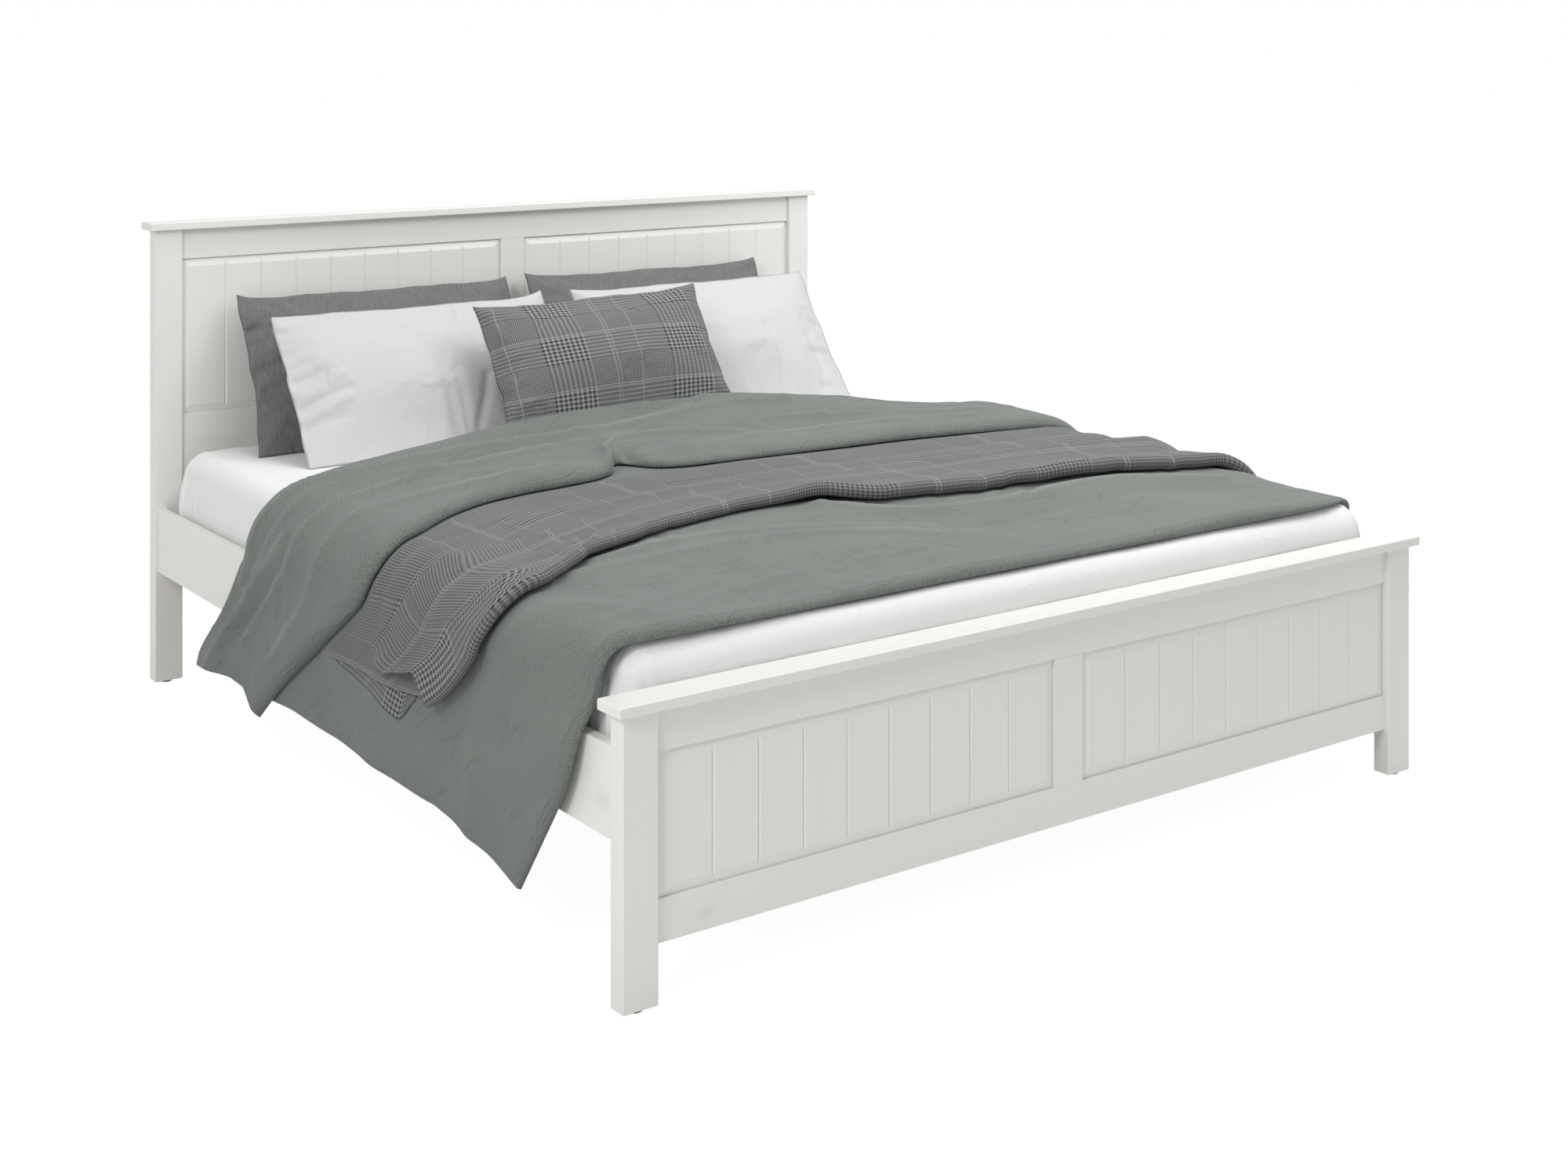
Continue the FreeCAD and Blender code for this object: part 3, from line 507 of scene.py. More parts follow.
def smoothLine(points, count=240, passes=3):
    # evenly spaced points along a soft line through the corners given
    path = np.asarray(points, float)
    run = np.concatenate([[0], np.cumsum(np.linalg.norm(np.diff(path, axis=0), axis=1))])
    even = np.linspace(0, run[-1], count)
    line = np.stack([np.interp(even, run, path[:, k]) for k in (0, 1)], -1)
    for _ in range(passes * 6):
        line[1:-1] = line[1:-1] * 0.5 + (line[:-2] + line[2:]) * 0.25
    return line


def pointsAt(line, shares):
    even = np.linspace(0, 1, len(line))
    return np.stack([np.interp(shares, even, line[:, k]) for k in (0, 1)], -1)


def spaced(length, fine, coarse, rows):
    # shares of a length, close together at both ends
    ends = np.concatenate([[0], np.cumsum(np.linspace(fine, coarse, rows))])
    middle = length - 2 * ends[-1]
    count = max(int(round(middle / coarse)), 2)
    inside = ends[-1] + np.linspace(0, middle, count + 1)[1:-1]
    return np.concatenate([ends, inside, length - ends[::-1]]) / length


def patch(lines, p, q):
    # grid between four soft lines: foot and head run left to right, left and right run foot to head
    foot, head, left, right = (smoothLine(lines[side]) for side in ("foot", "head", "left", "right"))
    f, h = pointsAt(foot, p)[:, None], pointsAt(head, p)[:, None]
    a, b = pointsAt(left, q)[None], pointsAt(right, q)[None]
    pp, qq = p[:, None, None], q[None, :, None]
    corners = (1 - pp) * (1 - qq) * f[0, 0] + pp * (1 - qq) * f[-1, 0]
    corners = corners + (1 - pp) * qq * h[0, 0] + pp * qq * h[-1, 0]
    grid = (1 - qq) * f + qq * h + (1 - pp) * a + pp * b - corners
    return grid[..., 0], grid[..., 1]


def clothGrid(cloth):
    # shares across and along a cloth, and where its points lie
    p, q = (spaced(size, *steps) for size, steps in zip(cloth["size"], cloth["spacing"]))
    return (p, q, *patch(cloth, p, q))


def nearLine(s, y, path):
    # distance of each point to a line of corners
    best = np.full(s.shape, 9.0)
    for (s0, y0), (s1, y1) in zip(path[:-1], path[1:]):
        ds, dy = s1 - s0, y1 - y0
        share = np.clip(((s - s0) * ds + (y - y0) * dy) / (ds * ds + dy * dy), 0, 1)
        best = np.minimum(best, np.hypot(s - s0 - share * ds, y - y0 - share * dy))
    return best


def ridge(s, y, path, width):
    # 1 on a line, fading to 0 away from it
    return np.exp(-((nearLine(s, y, path) / width) ** 2))


# folds narrower than the rubbed width get a painted highlight along their crest, reach wide
creased = {"widest": 0.05, "narrow": 0.38, "rubbed": 0.041, "reach": 0.007}  # folds that have a crest


def folds(s, y, rows, crest=0.0):
    # each row: a line, how high it stands (one number, or heights at places across) and how wide
    # crest: share of the height in a narrow crest
    total = np.zeros(s.shape)
    for path, height, width in rows:
        near = nearLine(s, y, smoothLine(path, 24, 1).tolist())
        if isinstance(height, list):
            height = np.interp(s, *zip(*height))
        sharp = crest if width < creased["widest"] else 0.0
        body, top = (np.exp(-((near / width / share) ** 2)) for share in (1, creased["narrow"]))
        total += height * ((1 - sharp) * body + sharp * top)
    return total


def crests(piece, s, y, rows):
    # how near each point of the top is to the crest of a fold, kept on the mesh for the material's
    # painted highlight
    near = np.zeros(s.shape)
    for path, height, width in rows:
        if width < creased["rubbed"] and (isinstance(height, list) or height > 0):
            line = smoothLine(path, 24, 1).tolist()
            near = np.maximum(near, ridge(s, y, line, creased["reach"]))
    # the painted highlight comes and goes along the crests
    patchy = 0.55 + 0.45 * np.sin(s * 9 + y * 13) * np.sin(s * 5 - y * 21)
    values = np.zeros(len(piece.data.vertices), np.float32)
    values[: near.size] = (near * patchy).ravel()
    piece.data.attributes.new("crest", "FLOAT", "POINT").data.foreach_set("value", values)


def creases(s, y, rows):
    # short random creases; each row: seed, how many, where, length, width, height and the way they lean
    total = np.zeros(s.shape)
    for seed, count, box, length, width, height, lean in rows:
        rng = np.random.default_rng(seed)
        for _ in range(count):
            cs, cy = rng.uniform(box[0], box[1]), rng.uniform(box[2], box[3])
            angle = math.radians(lean + rng.normal(0, 24))
            half = rng.uniform(*length) / 2
            bend = rng.normal(0, 0.25) * half
            ds, dy = math.cos(angle) * half, math.sin(angle) * half
            rise = rng.uniform(*height) * rng.choice([-1, 1])
            near = (np.abs(s - cs) < half + 4 * width) & (np.abs(y - cy) < half + 4 * width)
            if near.any():
                middle = (cs - dy * bend / half, cy + ds * bend / half)
                path = [(cs - ds, cy - dy), middle, (cs + ds, cy + dy)]
                total[near] += rise * ridge(s[near], y[near], path, width)
    return total


def swell(s, y, seed, size, height):
    # slow uneven rise and fall
    rng = np.random.default_rng(seed)
    total = np.zeros(s.shape)
    for _ in range(7):
        angle, phase = rng.uniform(0, math.tau), rng.uniform(0, math.tau)
        length = size * rng.uniform(0.7, 1.5)
        total += np.sin((s * math.cos(angle) + y * math.sin(angle)) * math.tau / length + phase)
    return total * height / 3


def rounded(distance, width):
    # 0 at an edge, 1 from width inwards, along a quarter circle
    share = np.clip(distance / width, 0, 1)
    return np.sqrt(np.clip(1 - (1 - share) ** 2, 0, 1))


def edgeRise(p, q, size, edges):
    # edges: widths of the rounding at left, right, foot and head, 0 where there is none
    rise = np.ones((len(p), len(q)))
    across, along = p[:, None], q[None]
    shares = (across, 1 - across, along, 1 - along)
    for share, length, edge in zip(shares, (size[0], size[0], size[1], size[1]), edges):
        if edge:
            rise = np.minimum(rise, rounded(share * length, edge))
    return rise


def flatPlaces(p, q, size):
    return np.stack(np.broadcast_arrays(p[:, None] * size[0], q[None] * size[1]), -1)


# duvet: the layer that lies on the bed
duvet = {
    "thickness": 0.022,
    "size": (2.72, 1.50),
    "spacing": ((0.003, 0.0096, 9), (0.003, 0.0096, 9)),  # of rows at the edges, inside, rows between
    "edges": (0.02, 0.02, 0.022, 0.03),
    "seam": 0.007,
    "foot": [(-1.346, -0.757), (-1.224, -0.846), (-1.143, -0.906), (-1.079, -0.932), (-1.02, -0.945),
             (-0.94, -0.955), (-0.90, -0.966), (-0.85, -0.973), (0, -0.972), (0.74, -0.972),
             (0.80, -0.968), (0.86, -0.953), (0.90, -0.93), (0.95, -0.895), (1.0, -0.872),
             (1.15, -0.835), (1.363, -0.79)],
    "left": [(-1.346, -0.757), (-1.322, -0.668), (-1.301, -0.518), (-1.294, -0.166), (-1.290, 0.166),
             (-1.30, 0.30), (-1.306, 0.45), (-1.29, 0.56)],
    "right": [(1.363, -0.79), (1.302, -0.56), (1.295, 0.0), (1.295, 0.25), (1.29, 0.40)],
    "head": [(-1.29, 0.56), (-1.20, 0.44), (-1.08, 0.34), (-0.98, 0.25), (-0.92, 0.225), (-0.82, 0.31),
             (-0.6, 0.41), (-0.4, 0.465), (-0.2, 0.49), (0.1, 0.50), (0.35, 0.48), (0.55, 0.42),
             (0.7, 0.32), (0.82, 0.22), (0.94, 0.15), (1.05, 0.17), (1.17, 0.28), (1.29, 0.40)],
    "folds": [
        ([(-0.70, -0.56), (-0.55, -0.505), (-0.42, -0.492), (-0.30, -0.520), (-0.18, -0.585),
          (-0.08, -0.665), (-0.02, -0.74)], 0.009, 0.026),
        ([(-0.88, -0.625), (-0.72, -0.598), (-0.55, -0.578), (-0.35, -0.576), (-0.22, -0.61),
          (-0.12, -0.67), (-0.05, -0.76)], 0.008, 0.030),
        ([(-0.094, -0.435), (-0.056, -0.514), (-0.007, -0.575), (0.06, -0.615), (0.146, -0.634),
          (0.272, -0.609), (0.387, -0.601), (0.502, -0.598), (0.597, -0.617), (0.676, -0.654),
          (0.74, -0.72)], 0.017, 0.040),
        ([(0.0, -0.50), (0.10, -0.545), (0.25, -0.545), (0.5, -0.54), (0.62, -0.56)], -0.010, 0.026),
        ([(0.05, -0.72), (0.25, -0.70), (0.5, -0.69), (0.66, -0.75)], -0.006, 0.040),
        ([(-1.30, -0.60), (-1.12, -0.62), (-1.0, -0.68), (-0.85, -0.80), (-0.80, -0.90)], 0.009, 0.045),
        ([(-1.30, -0.45), (-1.15, -0.52), (-1.02, -0.62), (-0.95, -0.75)], -0.008, 0.045),
        ([(-1.28, -0.22), (-1.15, -0.30)], 0.009, 0.06),
        ([(-1.29, -0.05), (-1.18, 0.0)], -0.006, 0.05),
        ([(1.30, -0.55), (1.05, -0.60), (0.9, -0.66)], 0.008, 0.05),
        ([(1.30, -0.25), (1.0, -0.25)], -0.006, 0.06),
        ([(1.30, 0.05), (1.0, 0.0)], 0.008, 0.05),
        ([(1.30, -0.42), (1.05, -0.44)], -0.007, 0.05),
    ],
    "hug": (0.036, -0.975, 0.056),  # how far in, where across and how wide, at the left foot corner
    "hugFrom": (-0.76, 0.16),
    "thin": 0.008,  # lies this much flatter at the right foot corner
    "thinFrom": (0.55, -0.35, 0.3),
    "above": 0.0008,  # over the mattress
    "crest": 0.3,
    "swell": (3, 0.55, 0.0022),  # seed, size, height
    "spanned": 1.5,  # folds are this much wider where something lies on them
    "creases": [
        (11, 60, (-1.3, 1.3, -0.95, -0.1), (0.05, 0.18), 0.010, (0.0010, 0.0026), 70),
        (12, 26, (-0.9, 0.9, -0.9, -0.45), (0.12, 0.32), 0.016, (0.0016, 0.0036), 20),
    ],
}


def duvetTop(s, y, under=False):
    thinS, thinY, fade = duvet["thinFrom"]
    thin = duvet["thin"] * np.clip((s - thinS) / fade, 0, 1) * np.clip((thinY - y) / fade, 0, 1)
    if under:
        # what lies on the duvet spans its valleys
        high = [row for row in duvet["folds"] if row[1] > 0]
        rise = folds(s, y, [(path, height, width * duvet["spanned"]) for path, height, width in high])
    else:
        rise = folds(s, y, duvet["folds"], duvet["crest"])
    rise += duvet["thickness"] - thin + swell(s, y, *duvet["swell"])
    return rise + creases(s, y, duvet["creases"])


def duvetHug(s, y):
    # near the left foot corner the duvet lies close to the mattress
    (inward, at, width), (start, fade) = duvet["hug"], duvet["hugFrom"]
    return -inward * np.exp(-(((s - at) / width) ** 2)) * np.clip((start - y) / fade, 0, 1)


p, q, s, y = clothGrid(duvet)
mainShape = s.shape
rise, hug = edgeRise(p, q, duvet["size"], duvet["edges"]), duvetHug(s, y)
top = onForm(s, y, duvet["seam"] + (duvetTop(s, y) - duvet["seam"]) * rise + hug)
bottom = onForm(s, y, duvet["seam"] * (1 - rise) + duvet["above"] + hug)
duvetMain = closedPad("duvetMain", top, bottom, flatPlaces(p, q, duvet["size"]), clothLook["duvet"])
crests(duvetMain, s, y, duvet["folds"])
print("duvet laid:", len(duvetMain.data.polygons), "faces")

# duvet: the part that is folded back from the head; foot is its hem and head its fold
turned = {
    "thickness": 0.030,
    "size": (2.66, 0.60),
    "spacing": ((0.003, 0.0080, 10), (0.0022, 0.0072, 12)),
    "hemEdges": (0.022, 0.022, 0.045, 0),
    "foldEdges": (0.022, 0.022, 0, 0.040),
    "foldMiddle": 0.030,  # height of the middle of the fold
    "above": 0.001,  # over the main part
    "hemMiddle": 0.004,  # over that, where the hem's faces meet
    "overEdge": (0.055, 0.05),  # from the fold to the main part's edge, and how round that is
    "sharper": 1.35,  # all folds but the first
    "crest": 0.35,
    "swell": (8, 0.45, 0.0025),
    "foot": [(-1.335, 0.300), (-1.312, 0.270), (-1.256, 0.201), (-1.195, 0.107), (-1.086, -0.058),
             (-1.02, -0.16), (-0.972, -0.222), (-0.915, -0.236), (-0.832, -0.175), (-0.772, -0.12),
             (-0.627, -0.02), (-0.5, 0.025), (-0.40, 0.035), (-0.31, 0.045), (-0.262, 0.065),
             (-0.238, 0.160), (-0.210, 0.165), (-0.185, 0.055), (-0.09, 0.025), (0.0, 0.022),
             (0.258, 0.030), (0.45, 0.015), (0.6, -0.02), (0.8, -0.06), (0.93, -0.09), (1.05, -0.10),
             (1.18, 0.02), (1.309, 0.20)],
    "left": [(-1.335, 0.300), (-1.312, 0.325), (-1.290, 0.350), (-1.286, 0.42), (-1.296, 0.52),
             (-1.312, 0.618)],
    "right": [(1.309, 0.20), (1.312, 0.30), (1.312, 0.44)],
    "head": [(-1.312, 0.605), (-1.2486, 0.557), (-1.1906, 0.482), (-1.1366, 0.422), (-1.0776, 0.376),
             (-1.0226, 0.335), (-0.983, 0.306), (-0.945, 0.280), (-0.90, 0.298), (-0.82, 0.370),
             (-0.6, 0.472), (-0.4, 0.528), (-0.2, 0.562), (0.1, 0.584), (0.25, 0.580), (0.40, 0.560),
             (0.53, 0.512), (0.65, 0.435), (0.76, 0.342), (0.86, 0.265), (0.94, 0.226), (1.02, 0.232),
             (1.12, 0.300), (1.312, 0.44)],
    "folds": [
        (
            [(-1.27, 0.52), (-1.10, 0.33), (-0.96, 0.22), (-0.82, 0.31), (-0.6, 0.42), (-0.4, 0.48),
             (-0.2, 0.515), (0.1, 0.535), (0.25, 0.532), (0.4, 0.505), (0.53, 0.46), (0.65, 0.385),
             (0.76, 0.29), (0.88, 0.20), (1.0, 0.16), (1.27, 0.30)],
            [(-1.27, 0.010), (-1.0, 0.006), (-0.86, -0.008), (-0.64, -0.004), (-0.476, 0.005),
             (-0.32, 0.019), (-0.18, 0.026), (-0.03, 0.033), (0.1, 0.036), (0.2, 0.037), (0.34, 0.029),
             (0.47, 0.017), (0.59, 0.001), (0.71, -0.014), (0.9, -0.016)],
            0.060,
        ),
        ([(-1.05, 0.29), (-0.95, 0.21), (-0.86, 0.235), (-0.785, 0.262), (-0.694, 0.271),
          (-0.59, 0.299), (-0.477, 0.335), (-0.387, 0.325), (-0.275, 0.348), (-0.165, 0.362),
          (-0.052, 0.377), (0.088, 0.425), (0.223, 0.455), (0.332, 0.445), (0.423, 0.41)], 0.016,
          0.024),
        ([(-0.90, 0.27), (-0.70, 0.33), (-0.45, 0.40), (-0.2, 0.43), (0.05, 0.465), (0.2, 0.49)],
         [(-1.0, -0.002), (-0.6, -0.006), (0.2, -0.012), (0.4, -0.004)], 0.028),
        ([(-0.70, 0.165), (-0.553, 0.19), (-0.438, 0.231), (-0.326, 0.258), (-0.21, 0.286),
          (-0.105, 0.291), (-0.012, 0.271), (0.055, 0.211), (0.117, 0.143)], 0.011, 0.019),
        ([(-1.02, 0.24), (-0.959, 0.177), (-0.906, 0.176), (-0.846, 0.187), (-0.791, 0.195),
          (-0.741, 0.197), (-0.651, 0.211)], 0.008, 0.018),
        ([(-1.18, 0.32), (-1.07, 0.20), (-0.99, 0.11), (-0.93, 0.055), (-0.886, 0.050), (-0.803, 0.105),
          (-0.728, 0.150), (-0.641, 0.180)], 0.008, 0.018),
        ([(-1.27, 0.50), (-1.16, 0.38), (-1.08, 0.29), (-1.01, 0.21), (-0.96, 0.14)], 0.009, 0.020),
        ([(-1.22, 0.42), (-1.12, 0.29), (-1.03, 0.17), (-0.97, 0.10)], -0.006, 0.022),
        ([(-1.24, 0.26), (-1.10, 0.08), (-0.99, -0.04), (-0.90, -0.06), (-0.80, -0.01), (-0.60, 0.06),
          (-0.40, 0.10)], 0.006, 0.030),
        ([(-0.62, 0.235), (-0.45, 0.285), (-0.2, 0.322)], -0.006, 0.014),
        ([(-0.270, 0.06), (-0.262, 0.12), (-0.225, 0.19), (-0.16, 0.25)], 0.016, 0.022),
        ([(-0.215, 0.06), (-0.205, 0.13), (-0.18, 0.18)], -0.012, 0.016),
        ([(-0.06, 0.10), (0.15, 0.12), (0.4, 0.12), (0.7, 0.04)], 0.006, 0.030),
        ([(0.10, 0.25), (0.35, 0.26), (0.60, 0.17), (0.80, 0.06)], [(0.0, 0.004), (0.3, 0.012),
                                                                    (0.9, 0.006)], 0.026),
        ([(0.20, 0.34), (0.42, 0.33), (0.60, 0.26), (0.75, 0.17)], -0.008, 0.026),
    ],
    "creases": [
        (5, 90, (-1.25, 1.0, -0.15, 0.48), (0.04, 0.14), 0.008, (0.0010, 0.0028), 62),
        (6, 30, (-1.1, 0.6, 0.0, 0.40), (0.12, 0.30), 0.014, (0.0018, 0.0042), 12),
    ],
}


def turnedTop(s, y):
    rise = duvet["thickness"] + turned["above"] + turned["thickness"]
    first, others = turned["folds"][:1], turned["folds"][1:]
    rise = rise + folds(s, y, first) + turned["sharper"] * folds(s, y, others, turned["crest"])
    return rise + swell(s, y, *turned["swell"]) + creases(s, y, turned["creases"])


p, q, s, y = clothGrid(turned)
turnedShape = s.shape
hemRise, foldRise = (edgeRise(p, q, turned["size"],
                              turned[edges]) for edges in ("hemEdges", "foldEdges"))
fromEdge = (1 - q[None]) * turned["size"][1] - turned["overEdge"][0]
onMain = duvetTop(s, y) * rounded(np.maximum(fromEdge, 0), turned["overEdge"][1]) + turned["above"]
hemHeight = onMain + turned["hemMiddle"]
heights = []
for full, edge in ((turnedTop(s, y), hemHeight), (onMain, hemHeight)):
    height = edge + (full - edge) * hemRise
    folded = turned["foldMiddle"] + (height - turned["foldMiddle"]) * foldRise
    height = np.where(foldRise < 1, folded, height)
    height[:, 0] = hemHeight[:, 0]
    heights.append(height)
duvetTurned = closedPad(
    "duvetTurned", onForm(s, y, heights[0]), onForm(s, y, heights[1]),
    flatPlaces(p, q, turned["size"]), clothLook["duvet"],
)
crests(duvetTurned, s, y, turned["folds"])
print("duvet folded back:", len(duvetTurned.data.polygons), "faces")

# throw: one cloth folded over on itself, its doubled edge towards the foot
throw = {
    "cloth": 0.0026,
    "flat": (0.74, 2.36),
    "size": (2.34, 0.46),
    "spacing": ((0.0035, 0.0085, 6), (0.0045, 0.0080, 5)),
    "overWidth": 0.24,
    "overSpacing": (0.0040, 0.0075, 5),
    "turnSteps": 9,
    "aboveDuvet": 0.0045,
    "gap": 0.0042,  # between the two layers, besides the loft
    "loft": [(-1.15, 0.018), (-0.9, 0.015), (-0.3, 0.016), (0.0, 0.022), (0.6, 0.024), (1.1, 0.020)],
    "lift": (0.0045, 0.05),  # at the left end: how high and how far in
    "curl": (0.014, 0.006, 0.042),
    "checkUnder": (0.685, -0.028),  # where the check starts on each layer
    "checkTurn": (0.010, -0.026),
    "checkOver": 0.007,
    "checkSkip": (0.155, 0.21),  # it skips half a repeat beside the first band
    "underCreases": [(21, 18, (-1.1, 1.1, -0.5, 0.0), (0.08, 0.24), 0.014, (0.0003, 0.0009), 25)],
    "overCreases": [(31, 18, (-1.1, 1.1, -0.65, -0.2), (0.08, 0.24), 0.014, (0.0003, 0.0009), 15)],
    "head": [(-1.129, -0.035), (-1.07, -0.118), (-1.005, -0.205), (-0.94, -0.255), (-0.85, -0.215),
             (-0.76, -0.145), (-0.627, -0.048), (-0.5, -0.005), (-0.30, 0.02), (-0.1, 0.005),
             (0.2, 0.006), (0.45, -0.008), (0.6, -0.045), (0.8, -0.075), (0.93, -0.085), (1.16, -0.09)],
    "foot": [(-1.098, -0.492), (-1.070, -0.540), (-1.03, -0.592), (-0.975, -0.656), (-0.925, -0.690),
             (-0.87, -0.672), (-0.80, -0.618), (-0.70, -0.545), (-0.587, -0.487), (-0.454, -0.424),
             (-0.362, -0.390), (-0.25, -0.366), (-0.16, -0.368), (-0.08, -0.405), (0.03, -0.462),
             (0.161, -0.484), (0.368, -0.505), (0.564, -0.53), (0.75, -0.575), (0.93, -0.615),
             (1.18, -0.63)],
    "left": [(-1.098, -0.492), (-1.107, -0.440), (-1.116, -0.345), (-1.121, -0.20), (-1.127, -0.035)],
    "right": [(1.18, -0.63), (1.19, -0.35), (1.16, -0.09)],
    "over": {
        "head": [(-1.070, -0.265), (-1.0, -0.33), (-0.94, -0.392), (-0.86, -0.395), (-0.76, -0.365),
                 (-0.64, -0.318), (-0.52, -0.265), (-0.42, -0.205), (-0.32, -0.175), (-0.1, -0.205),
                 (0.2, -0.225), (0.5, -0.245), (0.75, -0.30), (1.0, -0.37), (1.165, -0.41)],
        "left": [(-1.098, -0.492), (-1.070, -0.468), (-1.060, -0.440), (-1.072, -0.395),
                 (-1.088, -0.335), (-1.080, -0.305), (-1.066, -0.262)],
        "right": [(1.18, -0.63), (1.175, -0.52), (1.165, -0.41)],
    },
    "folds": [
        ([(-0.92, -0.31), (-0.773, -0.236), (-0.593, -0.17), (-0.33, -0.13), (-0.084, -0.15),
          (0.326, -0.16), (0.60, -0.20), (0.9, -0.23)], 0.005, 0.032),
        ([(-1.08, -0.20), (-0.97, -0.33), (-0.85, -0.30), (-0.66, -0.20), (-0.4, -0.09), (0.0, -0.10),
          (0.4, -0.11), (0.8, -0.16)], -0.004, 0.016),
        ([(-0.95, -0.24), (-0.8, -0.15), (-0.6, -0.06), (-0.3, -0.03), (0.3, -0.04), (0.7, -0.09),
          (0.95, -0.13)], 0.004, 0.024),
    ],
    "overFolds": [
        ([(-1.10, -0.38), (-1.03, -0.47), (-0.94, -0.55), (-0.86, -0.53), (-0.72, -0.44),
          (-0.55, -0.37), (-0.3, -0.32), (0.0, -0.37), (0.3, -0.39), (0.6, -0.43), (0.95, -0.50)],
          -0.003, 0.020),
        ([(-1.02, -0.37), (-0.92, -0.44), (-0.80, -0.43), (-0.66, -0.37), (-0.50, -0.30),
          (-0.30, -0.245), (0.0, -0.29), (0.3, -0.30), (0.6, -0.32), (0.95, -0.40)], 0.0025, 0.030),
        ([(0.35, -0.27), (0.60, -0.32), (0.85, -0.38), (1.02, -0.42)], 0.014, 0.040),
        ([(-0.86, -0.56), (-0.70, -0.48), (-0.55, -0.42)], 0.004, 0.018),
    ],
    "flap": {
        "size": (0.20, 0.34),
        "spacing": ((0.003, 0.008, 4), (0.003, 0.008, 4)),
        "thickness": 0.0024,
        "above": 0.0006,
        "check": (0.02, -0.05),
        "foot": [(-1.124, -0.400), (-1.0, -0.46), (-0.95, -0.49)],
        "head": [(-1.133, -0.060), (-1.02, -0.18), (-0.95, -0.24)],
        "left": [(-1.124, -0.400), (-1.148, -0.374), (-1.174, -0.343), (-1.158, -0.235),
                 (-1.136, -0.060)],
        "right": [(-0.95, -0.50), (-0.95, -0.24)],
    },
}


def throwUnder(s, y):
    rise = duvetTop(s, y, True) + throw["aboveDuvet"] + folds(s, y, throw["folds"])
    return rise + creases(s, y, throw["underCreases"])


def throwOver(s, y, back):
    # back: 0 at the doubled edge, 1 at the free edge
    gap = np.interp(s, *zip(*throw["loft"])) * (1 - back) ** 1.4 + throw["gap"]
    rise = throwUnder(s, y) + gap + folds(s, y, throw["overFolds"]) * np.clip(back * 4, 0.3, 1)
    return rise + creases(s, y, throw["overCreases"])


p, q, s, y = clothGrid(throw)
back = spaced(throw["overWidth"], *throw["overSpacing"])
sOver, yOver = patch({"foot": throw["foot"], **throw["over"]}, p, back)
under, over = throwUnder(s, y), throwOver(sOver, yOver, back[None])
along = p[:, None] * throw["size"][0]
liftHeight, liftReach = throw["lift"]
curlHeight, curlWave, curlReach = throw["curl"]
lift = liftHeight * np.exp(-((along / liftReach) ** 2))
curl = np.exp(-((along / curlReach) ** 2)) * np.clip(back[None] * 3, 0, 1)
under = under + lift
over = over + lift + curl * (curlHeight + curlWave * np.sin(back[None] * 17 + 0.6))

# the doubled edge turns in a half circle between the two layers
middle, radius = (under[:, :1] + over[:, :1]) / 2, (over[:, :1] - under[:, :1]) / 2
slope = np.gradient(np.stack([s[:, 0], y[:, 0]], -1), axis=0)
outward = np.stack([slope[:, 1], -slope[:, 0]], -1) / np.linalg.norm(slope, axis=1, keepdims=True)
angle = np.linspace(0, math.pi, throw["turnSteps"] + 2)[None, 1:-1]
bulge = radius * np.sin(angle)
sAll = np.hstack([s[:, ::-1], s[:, :1] + outward[:, :1] * bulge, sOver])
yAll = np.hstack([y[:, ::-1], y[:, :1] + outward[:, 1:] * bulge, yOver])
hAll = np.hstack([under[:, ::-1], middle - radius * np.cos(angle), over])

skipFrom, skip = throw["checkSkip"]
acrossUnder = throw["checkUnder"][1] - q[None, ::-1] * throw["size"][1]
acrossTurn = angle * throw["checkTurn"][0] + throw["checkTurn"][1]
acrossOver = throw["checkOver"] + back[None] * throw["overWidth"]
uUnder = np.repeat(throw["checkUnder"][0] - along, len(q), axis=1)
uOver = np.repeat(along + skip * (along > skipFrom), throw["turnSteps"] + len(back), axis=1)
uAll = np.hstack([uUnder, uOver])
vAll = np.broadcast_to(np.hstack([acrossUnder, acrossTurn, acrossOver]), uAll.shape)
rows, columns = sAll.shape
faces = gridFaces(rows, columns, lambda i, j: i * columns + j)
uv = np.stack([uAll, vAll], -1)
throwCloth = meshPiece("throwFolded", onForm(sAll, yAll, hAll), faces, clothLook["throw"], uv)
thicken(throwCloth, throw["cloth"], 0.0)
throwEnd = sAll[3], yAll[3], hAll[3]

# its loose corner at the left
flap = throw["flap"]
p, q, s, y = clothGrid(flap)
low = duvetTop(s, y) + flap["above"]
uv = flatPlaces(p, q, flap["size"]) + np.array(flap["check"])
top, bottom = onForm(s, y, low + flap["thickness"]), onForm(s, y, low)
throwFlap = closedPad("throwFlap", top, bottom, uv, clothLook["throw"])
print("throw folded:", len(throwCloth.data.polygons) + len(throwFlap.data.polygons), "faces")

# fitted sheet and mattress: rings from the hem up the sides and over the top
bed = {
    "halfX": 0.900,
    "halfY": 0.997,
    "corner": 0.060,
    "edge": 0.042,
    "top": 0.540,
    "hem": 0.352,
    "cloth": 0.0014,
    "around": 600,  # points in a ring
    "inward": (0.008, 0.02, 0.035, 0.055, 0.08, 0.11, 0.15, 0.2, 0.27, 0.36, 0.5, 0.7, 0.85),
    "wrinkles": [(51, 26, (-0.85, 0.85, -0.99, -0.86), (0.04, 0.12), 0.008, (0.0004, 0.0012), 65)],
    "taper": (0.020, 0.30),  # how far in near the corners, and how far it reaches
    "gather": (0.0036, 0.34),
    "slack": 0.0010,
    "ruffle": (0.0016, 0.14),
}
mattress = {
    "top": bed["top"] - 0.0022,
    "inset": 0.0030,
    "around": 360,
    "bottom": [(0.03, 0.340), (0.012, 0.345), (0.003, 0.355)],  # how far in and how high
    "sides": (0.38, 0.43, 0.46, 0.495),
    "edge": [(0.012, 0.519), (0.030, 0.533)],
    "inward": (0.050, 0.1, 0.2, 0.4, 0.7),
}


